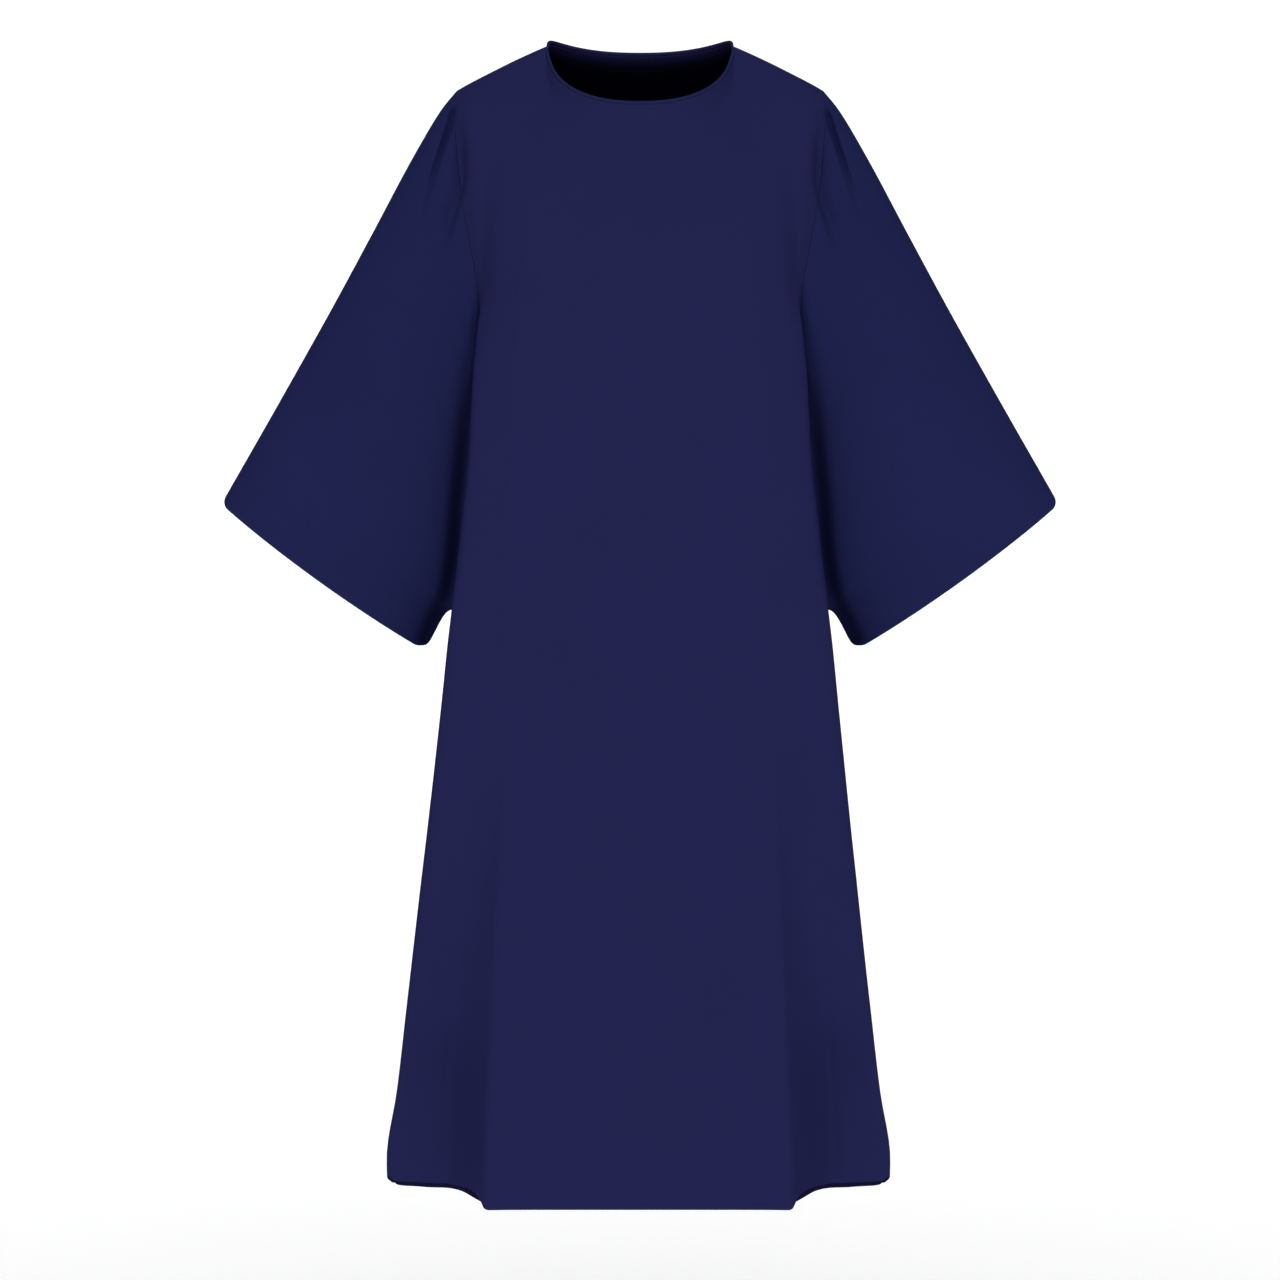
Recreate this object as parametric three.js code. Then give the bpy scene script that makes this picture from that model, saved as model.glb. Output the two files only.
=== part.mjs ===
// Dalmatic: a wide-sleeved vestment of one plain cloth, pulled on over the head. It keeps the hollow
// form that a wearer gives it: neck, cuffs, armholes and hem are open, the arms hang a little out
// from the sides, and the skirt falls in cone folds.
//
// Five pieces are cut and sewn: front, back, two sleeves and the narrow binding round the neck.
// Each is a wall of cloth of its own, SEAM_GAP clear of the pieces that it is sewn to.
//
// Millimetres, +Z up. The front faces -Y and the wearer's left is +X. The origin lies midway between
// the two shoulder seams, where a wearer's shoulders carry the garment. "down" is a depth below it.

import * as THREE from 'three';

// ---------------------------------------------------------------------------------------------
// Driving dimensions
// ---------------------------------------------------------------------------------------------
const CLOTH = 2;                 // thickness of the wall of cloth
const SEAM_GAP = 0.3;            // clearance between two pieces that are sewn together
const UNDERARM_DOWN = 360;       // bottom of the armhole
const SWAY = { shift: -1.7, from: 650, over: 400 };  // the skirt hangs a little towards -X

// The neck seam, between the cloth and the binding: a squared oval that dips at the front.
const NECK = { halfWidth: 106, frontDepth: 79, backDepth: 59, pointUp: 29, frontDrop: 82 };
const NECK_BACK = { rise: 10, sag: 8 };   // it stands up behind the neck points and sags between them
const NECK_SQUARENESS = 2.3;
const BINDING = { width: 4, thickness: 3.2, stand: 0.5, sides: 8 };  // stand: clear of the neck edge

// The shoulder seam falls from the neck point to the shoulder tip, a little more steeply on its way.
const SHOULDER = { tip: 208.6, fall: 0.42, bend: 0.0008 };
// Depth over which the top edge rounds into the chest or the back: short and full at the shoulder
// tip, long and soft from the neck inwards.
const TIP_ROUND = { reach: 85, power: 0.5 };
const NECK_ROUND = { front: { reach: 195, power: 1 }, back: { reach: 130, power: 1 } };
const NECK_SPREAD = 250;         // depth over which the columns leave their places on the top edge

// How far before its crest a cone fold starts to turn, and how far past it the turn ends, as a share
// of the way to the fold's foot: crisp in front, soft behind.
const RIDGE = { front: { before: 15, after: 0.2 }, back: { before: 42, after: 0.36 } };
// How far from the side towards the rounded edge the flank's control point lies: open where the
// cloth runs on into the sleeve, tucked where it turns round to the other panel.
const FLANK = { open: 0.45, tucked: 0.3 };
// The control points on both sides of the rounded edge, as shares of the way from the foot to the
// edge in x and in y, and from the edge to the flank.
const EDGE = { before: [0.5, 0.3], after: 0.3 };

// Rounding of the cuff's corners at its two folds, and how far its middle bows out between them.
// nearCuff: the power that keeps both to the cuff.
const CUFF_CORNER = { top: 12, under: 13, bow: 4.8, nearCuff: 8 };
const SLEEVE_HALF_DEPTH = { front: 60, back: 54, atCuff: 0.84 };
const SLEEVE_FULLNESS = { rise: 0.5, fall: 0.42 };
const SLEEVE_SET = 0.35;         // share of the sleeve in which the armhole's form dies out

// Grid of each piece
const ARM_ROWS = 14;             // rows from the top edge to the underarm
const SKIRT_ROWS = 16;           // rows from the underarm to the hem
const SKIRT_CROWDING = 1.35;     // rows lie closer below the underarm
const NECK_COLUMN = 8;           // the column that starts at the neck point
const SLEEVE_RINGS = [0, 0.03, 0.08, 0.15, 0.23, 0.32, 0.42, 0.52, 0.62, 0.72, 0.82, 0.92, 1];

// Where the columns of half a panel lie among the marks of its section, from the middle (0) to the
// side (10): 0 middle, 3 ridge of the cone fold, 5 foot of that fold, 7 rounded edge, 10 side.
const COLUMN_MARKS = [0, 0.5, 1, 1.5, 2, 2.5, 3, 3.5, 4.2, 5, 5.7, 6.4, 7, 7.7, 8.6, 10];
const LAST_COLUMN = COLUMN_MARKS.length - 1;

// ---------------------------------------------------------------------------------------------
// Sections
// ---------------------------------------------------------------------------------------------
// The side of the body: the armhole seam down to the underarm and the side seam below it. tuck is 0
// where the cloth runs on into the sleeve and 1 where it turns round to the other panel.
const SIDE = smoothTable(['down', 'x', 'frontY', 'backY', 'tuck'], [
  [22.6, 208.6, -45, 42, 0],
  [60, 202, -44, 42, 0],
  [100, 196.5, -50, 46, 0],
  [150, 192, -62, 54, 0],
  [200, 186, -73, 60, 0],
  [250, 181, -77, 61, 0.1],
  [300, 177.5, -64, 52, 0.2],
  [330, 176, -41, 35, 0.5],
  [350, 175.2, -23, 20, 0.8],
  [360, 175, 0, 0, 1],
  [380, 166, 0, 0, 1],
  [410, 159, 0, 0, 1],
  [450, 155, 0, 0, 1],
  [530, 158, 0, 0, 1],
  [610, 174, 0, 0, 1],
  [700, 200, 0, 0, 1],
  [800, 220, 0, 0, 1],
  [900, 235, 0, 0, 1],
  [1050, 254, 0, 0, 1],
  [1150, 267, 0, 0, 1],
  [1230, 276, 0, 0, 1],
  [1262, 279, 0, 0, 1],
]);

// A section through each panel at a depth. The edge is the rounded fold where the panel turns back
// beside the sleeve. The ridge and its foot lie on one even curve at the chest, and part below the
// waist into a cone fold whose wall falls back from ridge to foot.
const PANEL_COLUMNS = ['down', 'middleY', 'ridgeX', 'ridgeY', 'footX', 'footY', 'edgeX', 'edgeY'];
const FRONT = smoothTable(PANEL_COLUMNS, [
  [-30, -62, 88, -60, 125, -58, 160, -54],
  [28, -72, 98, -72, 134, -68, 170, -60],
  [100, -98, 112, -93, 142, -85, 172, -70],
  [180, -115, 122, -107, 150, -98, 173, -83],
  [250, -125, 130, -116, 154, -107, 172, -90],
  [300, -128, 134, -119, 159, -111, 178, -96],
  [360, -131, 138, -122, 164, -114, 184.5, -99],
  [450, -134, 141, -125, 169, -117, 189, -102],
  [530, -137, 143, -128, 175, -120, 198, -105],
  [610, -140, 144, -131, 180, -123, 206.5, -109],
  [660, -142, 144, -133, 182, -125, 212, -112],
  [700, -144, 144, -135, 182, -127, 215.5, -115],
  [800, -148, 146, -141, 179, -130, 224.7, -120],
  [884, -151, 150, -146, 178, -129, 233.1, -121],
  [1050, -157, 157, -156, 200, -114, 252.6, -109],
  [1150, -161, 162, -161, 209, -88, 265.5, -87],
  [1224, -164, 165, -164, 211, -87, 276.5, -84],
  [1260, -165, 166.5, -165, 212, -86, 277.5, -83],
]);
const BACK = smoothTable(PANEL_COLUMNS, [
  [-30, 50, 88, 50, 125, 48, 160, 46],
  [28, 60, 98, 62, 134, 60, 170, 54],
  [100, 78, 112, 82, 142, 77, 172, 66],
  [180, 92, 122, 93, 150, 86, 173, 73],
  [250, 98, 130, 96, 154, 89, 171, 76],
  [300, 99, 136, 96, 160, 89, 175, 78],
  [360, 100, 142, 95, 166, 88, 181, 78],
  [450, 101, 146, 94, 172, 88, 190, 77],
  [530, 103, 148, 95, 176, 88, 197, 76],
  [610, 106, 148, 98, 176, 88, 203, 75],
  [700, 110, 139, 105, 174, 89, 209, 73],
  [800, 116, 130, 115, 173, 88, 217, 69],
  [900, 122, 122, 126, 174, 86, 224, 64],
  [990, 127, 116, 136, 177, 81, 227, 58],
  [1090, 132, 112, 146, 181, 74, 231, 50],
  [1316, 138, 110, 162, 190, 62, 238, 34],
]);

// The hems, by the mark of a panel's section: the front's rises beyond its cone folds and rounds off
// at the edge, and the back's hangs lower.
const FRONT_HEM = smoothTable(['mark', 'down'], [
  [3, 1262],
  [3.5, 1251],
  [4.2, 1246],
  [5, 1248.3],
  [6.4, 1247],
  [7, 1241],
  [7.7, 1244],
  [8.6, 1254],
  [10, 1265],
]);
const BACK_HEM = smoothTable(['mark', 'down'], [
  [4.2, 1316],
  [5, 1312],
  [5.7, 1293],
  [6.4, 1286],
  [7, 1281],
  [7.7, 1278],
  [8.6, 1273],
  [10, 1265],
]);

// The sleeve's top fold and its under fold, both from the armhole to the cuff.
const SLEEVE_TOP = foldLine([
  { x: 208.6, down: 22.6 },
  { x: 226, down: 44 },
  { x: 260, down: 101 },
  { x: 305.5, down: 186 },
  { x: 352, down: 272 },
  { x: 416, down: 386 },
  { x: 476.8, down: 492.5 },
]);
const SLEEVE_UNDER = foldLine([
  { x: 175, down: 360 },
  { x: 180, down: 400 },
  { x: 184, down: 450 },
  { x: 189, down: 530 },
  { x: 197, down: 590 },
  { x: 209, down: 613 },
  { x: 221, down: 618.5 },
  { x: 245.2, down: 659.2 },
]);

// ---------------------------------------------------------------------------------------------
// Curves
// ---------------------------------------------------------------------------------------------
function mix(a, b, share) {
  return a + (b - a) * share;
}

function mixPoint(a, b, share) {
  return a.map((value, axis) => mix(value, b[axis], share));
}

// 0 below zero, 1 above one, and an even S between them.
function easeIn(share) {
  const t = Math.min(Math.max(share, 0), 1);
  return t * t * (3 - 2 * t);
}

// A curve through the points (at[i], value[i]) that never swings past any of them.
function curveThrough(at, value) {
  const last = at.length - 1;
  const rate = value.slice(1).map((next, i) => (next - value[i]) / (at[i + 1] - at[i]));
  const tangent = value.map((_, i) => {
    const before = rate[Math.max(i - 1, 0)];
    const after = rate[Math.min(i, last - 1)];
    return before * after <= 0 ? 0 : (2 * before * after) / (before + after);
  });
  return (place) => {
    const x = Math.min(Math.max(place, at[0]), at[last]);
    let i = 0;
    while (i < last - 1 && x > at[i + 1]) i += 1;
    const span = at[i + 1] - at[i];
    const t = (x - at[i]) / span;
    const bend = t * (1 - t) * span;
    return mix(value[i], value[i + 1], easeIn(t)) + bend * ((1 - t) * tangent[i] - t * tangent[i + 1]);
  };
}

// A table read by its first column, a depth or a mark: the function gives every column at any place
// in between, by name.
function smoothTable(names, rows) {
  const places = rows.map((row) => row[0]);
  const curves = names.map((_, column) => curveThrough(places, rows.map((row) => row[column])));
  return (place) => Object.fromEntries(names.map((name, column) => [name, curves[column](place)]));
}

// A fold's line through marks in the plane y = 0. getPointAt(0) is its upper end.
function foldLine(marks) {
  const points = marks.map(({ x, down }) => new THREE.Vector3(x, 0, -down));
  return new THREE.CatmullRomCurve3(points, false, 'centripetal');
}

// Uniform cubic B-spline at t, in steps of one control point. before and after carry it past its ends.
function spline(controls, before, after, t) {
  const padded = [before, ...controls, after];
  const i = Math.min(Math.floor(t), controls.length - 2);
  const f = t - i;
  const weights = [(1 - f) ** 3, 3 * f ** 3 - 6 * f ** 2 + 4, -3 * f ** 3 + 3 * f ** 2 + 3 * f + 1, f ** 3];
  return [0, 1].map((axis) => weights.reduce((sum, w, k) => sum + (w / 6) * padded[i + k][axis], 0));
}

// The control point that makes the spline pass through mark, between two neighbouring controls.
function throughMark(mark, before, after) {
  return mark.map((value, axis) => (6 * value - before[axis] - after[axis]) / 4);
}

// ---------------------------------------------------------------------------------------------
// The body's form
// ---------------------------------------------------------------------------------------------
// Point [x, y] of half a panel's section at a depth, t running over the marks from middle to side.
function halfSection(panel, down, t) {
  const mark = (panel === 'front' ? FRONT : BACK)(down);
  const side = SIDE(down);
  const chestY = (x) => mark.middleY + (mark.ridgeY - mark.middleY) * (x / mark.ridgeX) ** 2;
  const { before, after } = RIDGE[panel];
  const turnX = mark.ridgeX - before;
  const middle = [0, mark.middleY];
  const chest = [turnX / 2, chestY(turnX / 2)];
  const beforeRidge = [turnX, chestY(turnX)];
  const ridge = [mark.ridgeX, mark.ridgeY];
  const foot = [mark.footX, mark.footY];
  const edge = [mark.edgeX, mark.edgeY];
  const afterRidge = mixPoint(ridge, foot, after);
  const afterFoot = [0, 1].map((axis) => mix(foot[axis], edge[axis], EDGE.before[axis]));
  const seam = [side.x, panel === 'front' ? side.frontY : side.backY];
  const openFlank = mixPoint(seam, edge, FLANK.open);
  const tuckedFlank = [seam[0], mix(seam[1], edge[1], FLANK.tucked)];
  const flank = mixPoint(openFlank, tuckedFlank, side.tuck);
  const behindEdge = mixPoint(edge, flank, EDGE.after);
  const controls = [
    middle, chest, beforeRidge,
    throughMark(ridge, beforeRidge, afterRidge), afterRidge,
    foot, afterFoot,
    throughMark(edge, afterFoot, behindEdge), behindEdge,
    flank, seam,
  ];
  const beyondSeam = mixPoint(flank, seam, 2);
  return spline(controls, [-chest[0], chest[1]], beyondSeam, t);
}

// The neck seam. turn is 0 at the middle of the front, 1 at the neck point, 2 at the middle of the back.
function neckSeam(turn) {
  const angle = (turn * Math.PI) / 2;
  const forward = Math.cos(angle);
  const x = NECK.halfWidth * Math.sin(angle) ** (2 / NECK_SQUARENESS);
  if (turn <= 1) {
    const drop = NECK.frontDrop * Math.max(forward, 0) ** (2 / NECK_SQUARENESS);
    return [x, -NECK.frontDepth * Math.max(forward, 0), NECK.pointUp - drop];
  }
  const up = NECK_BACK.rise * (1 - (1 + forward) ** 4) - NECK_BACK.sag * forward ** 2;
  return [x, -NECK.backDepth * forward, NECK.pointUp + up];
}

function shoulderSeam(share) {
  const x = mix(NECK.halfWidth, SHOULDER.tip, share);
  const out = x - NECK.halfWidth;
  return [x, 0, NECK.pointUp - SHOULDER.fall * out - SHOULDER.bend * out * out];
}

// Top edge of a panel at a column: along the neck seam, then along the shoulder seam.
function topEdge(panel, column) {
  if (column > NECK_COLUMN) return shoulderSeam((column - NECK_COLUMN) / (LAST_COLUMN - NECK_COLUMN));
  const turn = column / NECK_COLUMN;
  return neckSeam(panel === 'front' ? turn : 2 - turn);
}

// Share of the armhole's depth at a row; the rows crowd at the shoulder and at the underarm.
function armShare(row) {
  return (1 - Math.cos((Math.PI * row) / ARM_ROWS)) / 2;
}

function hemDown(panel, column) {
  return (panel === 'front' ? FRONT_HEM : BACK_HEM)(COLUMN_MARKS[column]).down;
}

// Point of the body's outside at a panel's column (its sign is the side) and row.
function bodyPoint(panel, signedColumn, row) {
  const column = Math.abs(signedColumn);
  const [topX, topY, topZ] = topEdge(panel, column);
  const skirtShare = (Math.max(row - ARM_ROWS, 0) / SKIRT_ROWS) ** SKIRT_CROWDING;
  const armDown = mix(-topZ, UNDERARM_DOWN, armShare(Math.min(row, ARM_ROWS)));
  const down = row <= ARM_ROWS ? armDown : mix(UNDERARM_DOWN, hemDown(panel, column), skirtShare);
  const [sectionX, sectionY] = halfSection(panel, down, COLUMN_MARKS[column]);

  const toTip = easeIn((column - NECK_COLUMN) / (LAST_COLUMN - NECK_COLUMN));
  const reach = mix(NECK_ROUND[panel].reach, TIP_ROUND.reach, toTip);
  const left = 1 - Math.min((down + topZ) / reach, 1);
  const swell = (1 - left ** 2) ** mix(NECK_ROUND[panel].power, TIP_ROUND.power, toTip);
  const spread = easeIn((down + topZ) / NECK_SPREAD);
  const x = Math.sign(signedColumn) * mix(topX, sectionX, spread);
  const sway = SWAY.shift * easeIn((down - SWAY.from) / SWAY.over);
  return new THREE.Vector3(x + sway, mix(topY, sectionY, swell), -down);
}

// Rows of points of a panel's outside, from the top edge to the hem and from -X to +X.
function bodyGrid(panel) {
  const rows = [];
  for (let row = 0; row <= ARM_ROWS + SKIRT_ROWS; row += 1) {
    const line = [];
    for (let column = -LAST_COLUMN; column <= LAST_COLUMN; column += 1) {
      line.push(bodyPoint(panel, column, row));
    }
    rows.push(line);
  }
  return rows;
}

// ---------------------------------------------------------------------------------------------
// The sleeve's form, on the +X side
// ---------------------------------------------------------------------------------------------
// A point of the sleeve between its two folds. across runs from the top fold (0) to the under fold (1).
function sleeveForm(along, across, panel) {
  const top = SLEEVE_TOP.getPointAt(along);
  const under = SLEEVE_UNDER.getPointAt(along);
  const point = top.clone().lerp(under, across);
  // A fold's sharpness is the power by which the fullness grows away from it.
  const { rise, fall } = SLEEVE_FULLNESS;
  const fullest = rise / (rise + fall);
  const fullness = (across / fullest) ** rise * ((1 - across) / (1 - fullest)) ** fall;
  const halfDepth = SLEEVE_HALF_DEPTH[panel] * mix(1, SLEEVE_HALF_DEPTH.atCuff, along);
  point.y = (panel === 'front' ? -1 : 1) * halfDepth * fullness;
  return point;
}

// How far the cuff's edge draws back up the sleeve at a distance from a fold, in a rounded corner.
function cornerDraw(radius, distance) {
  const left = 1 - Math.min(distance / radius, 1);
  return radius * (1 - Math.sqrt(1 - left ** 2));
}

// Rings of the sleeve's outside, from the armhole to the cuff. Each ring starts on the top fold, runs
// down the front to the under fold and back up behind. armhole is the body's own ring.
function sleeveGrid(armhole) {
  const ringSize = armhole.length;
  const upSleeve = SLEEVE_TOP.getTangentAt(1).negate();
  return SLEEVE_RINGS.map((along) => {
    const set = 1 - easeIn(along / SLEEVE_SET);
    const width = SLEEVE_TOP.getPointAt(along).distanceTo(SLEEVE_UNDER.getPointAt(along));
    return armhole.map((seamPoint, k) => {
      const panel = k <= ringSize / 2 ? 'front' : 'back';
      const across = armShare(panel === 'front' ? k : ringSize - k);
      const point = sleeveForm(along, across, panel);
      const atSeam = seamPoint.clone().sub(sleeveForm(0, across, panel));
      point.addScaledVector(atSeam, set);
      const topDraw = cornerDraw(CUFF_CORNER.top, across * width);
      const underDraw = cornerDraw(CUFF_CORNER.under, (1 - across) * width);
      const bow = CUFF_CORNER.bow * 4 * across * (1 - across);
      const draw = topDraw + underDraw - bow;
      return point.addScaledVector(upSleeve, draw * along ** CUFF_CORNER.nearCuff);
    });
  });
}

// ---------------------------------------------------------------------------------------------
// Walls of cloth
// ---------------------------------------------------------------------------------------------
// Outward normal at each point of a grid whose faces turn outwards when ordered a, c, b.
function gridNormals(grid, wraps, turned) {
  const normals = grid.map((line) => line.map(() => new THREE.Vector3()));
  const count = grid[0].length;
  for (let i = 0; i < grid.length - 1; i += 1) {
    for (let j = 0; j < (wraps ? count : count - 1); j += 1) {
      const next = (j + 1) % count;
      const downward = grid[i + 1][next].clone().sub(grid[i][j]);
      const across = grid[i][next].clone().sub(grid[i + 1][j]);
      const face = downward.cross(across).multiplyScalar(turned ? -1 : 1);
      for (const row of [i, i + 1]) {
        normals[row][j].add(face);
        normals[row][next].add(face);
      }
    }
  }
  normals.flat().forEach((normal) => normal.normalize());
  return normals;
}

// A closed wall between an outer and an inner grid of the same layout. Where wraps is true the rows
// are rings. turned is set for a grid that runs the other way round.
function wall(outer, inner, wraps, turned) {
  const rows = outer.length;
  const count = outer[0].length;
  const positions = [outer, inner].flat(2).flatMap((p) => [p.x, p.y, p.z]);
  const out = (i, j) => i * count + (j % count);
  const inn = (i, j) => rows * count + i * count + (j % count);
  const triangles = [];
  const quad = (a, b, c, d) => {
    if (turned) triangles.push(a, b, c, a, c, d);
    else triangles.push(a, c, b, a, d, c);
  };
  const lastColumn = wraps ? count : count - 1;
  for (let i = 0; i < rows - 1; i += 1) {
    for (let j = 0; j < lastColumn; j += 1) {
      quad(out(i, j), out(i, j + 1), out(i + 1, j + 1), out(i + 1, j));
      quad(inn(i, j), inn(i + 1, j), inn(i + 1, j + 1), inn(i, j + 1));
    }
  }
  for (let j = 0; j < lastColumn; j += 1) {
    quad(inn(0, j), inn(0, j + 1), out(0, j + 1), out(0, j));
    quad(out(rows - 1, j), out(rows - 1, j + 1), inn(rows - 1, j + 1), inn(rows - 1, j));
  }
  for (let i = 0; i < rows - 1 && !wraps; i += 1) {
    quad(inn(i, 0), out(i, 0), out(i + 1, 0), inn(i + 1, 0));
    quad(out(i, count - 1), inn(i, count - 1), inn(i + 1, count - 1), out(i + 1, count - 1));
  }
  return indexed(positions, triangles);
}

function indexed(positions, triangles) {
  const geometry = new THREE.BufferGeometry();
  geometry.setAttribute('position', new THREE.Float32BufferAttribute(positions, 3));
  geometry.setIndex(triangles);
  geometry.computeVertexNormals();
  return geometry;
}

function inside(grid, thickness) {
  return grid.map((line, i) => line.map((point, j) => point.clone().sub(thickness[i][j])));
}

// ---------------------------------------------------------------------------------------------
// Seams: both pieces keep the same line, half a gap to each side of it
// ---------------------------------------------------------------------------------------------
function joinNormals(a, b) {
  a.add(b).normalize();
  b.copy(a);
}

// Side step of half a gap off a seam: square to its run and to its outward direction, towards inPiece.
function sideStep(run, outward, inPiece) {
  const step = run.clone().cross(outward).normalize();
  return step.multiplyScalar((Math.sign(step.dot(inPiece)) * SEAM_GAP) / 2);
}

// Thickness of a wall at a seam. Over a ridge the two walls meet in a mitre; in a valley each keeps
// its own normal, and they part behind the seam.
function seamThickness(normal, shared, otherPiece) {
  if (normal.dot(otherPiece) > 0) return normal.clone().multiplyScalar(CLOTH);
  return shared.clone().multiplyScalar(CLOTH / shared.dot(normal));
}

// ---------------------------------------------------------------------------------------------
// Pieces
// ---------------------------------------------------------------------------------------------
const front = bodyGrid('front');
const back = bodyGrid('back');
const frontNormals = gridNormals(front, false, false);
const backNormals = gridNormals(back, false, true);
const middleColumn = LAST_COLUMN;
const sideColumns = { left: 2 * LAST_COLUMN, right: 0 };
const panelGrid = (panel) => (panel === 'front' ? front : back);

// The body's two panels share their normals along the shoulder seams and the side seams.
for (let column = NECK_COLUMN; column <= LAST_COLUMN; column += 1) {
  for (const side of [-1, 1]) {
    const j = middleColumn + side * column;
    joinNormals(frontNormals[0][j], backNormals[0][j]);
  }
}
for (let row = ARM_ROWS; row < front.length; row += 1) {
  for (const j of Object.values(sideColumns)) joinNormals(frontNormals[row][j], backNormals[row][j]);
}

const frontThickness = frontNormals.map((line) => line.map((n) => n.clone().multiplyScalar(CLOTH)));
const backThickness = backNormals.map((line) => line.map((n) => n.clone().multiplyScalar(CLOTH)));

// The armhole as a ring of places in the two panels: shoulder tip, front, underarm, back.
function armholePlaces(side) {
  const j = sideColumns[side];
  const places = [];
  for (let row = 0; row <= ARM_ROWS; row += 1) places.push({ panel: 'front', row, j });
  for (let row = ARM_ROWS - 1; row > 0; row -= 1) places.push({ panel: 'back', row, j });
  return places;
}

const sleeves = {};
const frontShift = front.map((line) => line.map(() => new THREE.Vector3()));
const backShift = back.map((line) => line.map(() => new THREE.Vector3()));

for (const side of ['left', 'right']) {
  const places = armholePlaces(side);
  const mirrored = side === 'right';
  const mirror = (p) => new THREE.Vector3(mirrored ? -p.x : p.x, p.y, p.z);
  const armhole = places.map(({ panel, row, j }) => mirror(panelGrid(panel)[row][j]));
  const sleeve = sleeveGrid(armhole).map((ring) => ring.map(mirror));
  const normals = gridNormals(sleeve, true, !mirrored);
  const thickness = normals.map((ring) => ring.map((n) => n.clone().multiplyScalar(CLOTH)));
  const ring = places.length;
  const inward = mirrored ? 1 : -1;

  places.forEach(({ panel, row, j }, k) => {
    const grid = panelGrid(panel);
    const bodyNormal = (panel === 'front' ? frontNormals : backNormals)[row][j];
    const sleeveNormal = normals[0][k];
    const point = sleeve[0][k];
    const run = sleeve[0][(k + 1) % ring].clone().sub(sleeve[0][(k + ring - 1) % ring]);
    const shared = bodyNormal.clone().add(sleeveNormal).normalize();
    const inBody = row === ARM_ROWS ? grid[row + 1][j] : grid[row][j + inward];
    const toBody = inBody.clone().sub(point);
    const toSleeve = sleeve[1][k].clone().sub(point);
    const bodyStep = sideStep(run, shared, toBody);
    const bodyThickness = seamThickness(bodyNormal, shared, toSleeve);
    thickness[0][k] = seamThickness(sleeveNormal, shared, toBody);
    sleeve[0][k] = point.clone().sub(bodyStep);
    const panels = row === 0 || row === ARM_ROWS ? ['front', 'back'] : [panel];
    for (const name of panels) {
      (name === 'front' ? frontShift : backShift)[row][j].add(bodyStep);
      (name === 'front' ? frontThickness : backThickness)[row][j] = bodyThickness;
    }
  });
  sleeves[side] = wall(sleeve, inside(sleeve, thickness), true, !mirrored);
}

// Half a gap off the shoulder seams and the side seams.
function stepOffSeam(row, j, run) {
  const outward = frontNormals[row][j];
  frontShift[row][j].add(sideStep(run, outward, new THREE.Vector3(0, -1, 0)));
  backShift[row][j].add(sideStep(run, outward, new THREE.Vector3(0, 1, 0)));
}
for (let column = NECK_COLUMN; column <= LAST_COLUMN; column += 1) {
  for (const side of [-1, 1]) {
    const j = middleColumn + side * column;
    const neighbour = column === LAST_COLUMN ? j - side : j + side;
    stepOffSeam(0, j, front[0][neighbour].clone().sub(front[0][j]));
  }
}
for (let row = ARM_ROWS; row < front.length; row += 1) {
  for (const j of Object.values(sideColumns)) {
    const neighbour = row === ARM_ROWS ? row + 1 : row - 1;
    stepOffSeam(row, j, front[neighbour][j].clone().sub(front[row][j]));
  }
}

function panelWall(grid, shift, thickness, turned) {
  const outer = grid.map((line, i) => line.map((point, j) => point.clone().add(shift[i][j])));
  return wall(outer, inside(outer, thickness), false, turned);
}

// The binding is a rolled strip that stands on the neck edge of both panels, all the way round.
function neckBinding() {
  const stations = [];
  for (let column = -NECK_COLUMN; column < NECK_COLUMN; column += 1) {
    const j = middleColumn + column;
    stations.push({ point: front[0][j], normal: frontNormals[0][j] });
  }
  for (let column = NECK_COLUMN; column > -NECK_COLUMN; column -= 1) {
    const j = middleColumn + column;
    stations.push({ point: back[0][j], normal: backNormals[0][j] });
  }
  const count = stations.length;
  const halfWidth = BINDING.width / 2;
  const flat = Math.cos(Math.PI / BINDING.sides);   // how far out the flats of the section lie
  const rings = [];
  for (let side = 0; side < BINDING.sides; side += 1) {
    const angle = (2 * Math.PI * (side + 0.5)) / BINDING.sides;
    const height = BINDING.stand + halfWidth * (1 + Math.cos(angle) / flat);
    const proud = (BINDING.thickness / 2) * Math.sin(angle) - CLOTH / 2;
    rings.push(stations.map(({ point, normal }, k) => {
      const next = stations[(k + 1) % count].point;
      const previous = stations[(k + count - 1) % count].point;
      const up = normal.clone().cross(next.clone().sub(previous)).normalize();
      return point.clone().addScaledVector(up, height).addScaledVector(normal, proud);
    }));
  }
  return tube(rings);
}

// A closed tube whose rows and whose columns both come back to their start.
function tube(rings) {
  const rows = rings.length;
  const count = rings[0].length;
  const at = (i, j) => (i % rows) * count + (j % count);
  const triangles = [];
  for (let i = 0; i < rows; i += 1) {
    for (let j = 0; j < count; j += 1) {
      triangles.push(at(i, j), at(i + 1, j + 1), at(i, j + 1));
      triangles.push(at(i, j), at(i + 1, j), at(i + 1, j + 1));
    }
  }
  return indexed(rings.flat().flatMap((p) => [p.x, p.y, p.z]), triangles);
}

// ---------------------------------------------------------------------------------------------
// Assembly
// ---------------------------------------------------------------------------------------------
function clothMaterial(colour) {
  return new THREE.MeshStandardMaterial({ color: colour, roughness: 0.85, metalness: 0 });
}

const NAVY = 0x22244d;
const NAVY_SHADE = 0x1e2349;
const NAVY_EDGE = 0x252a50;

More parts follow.
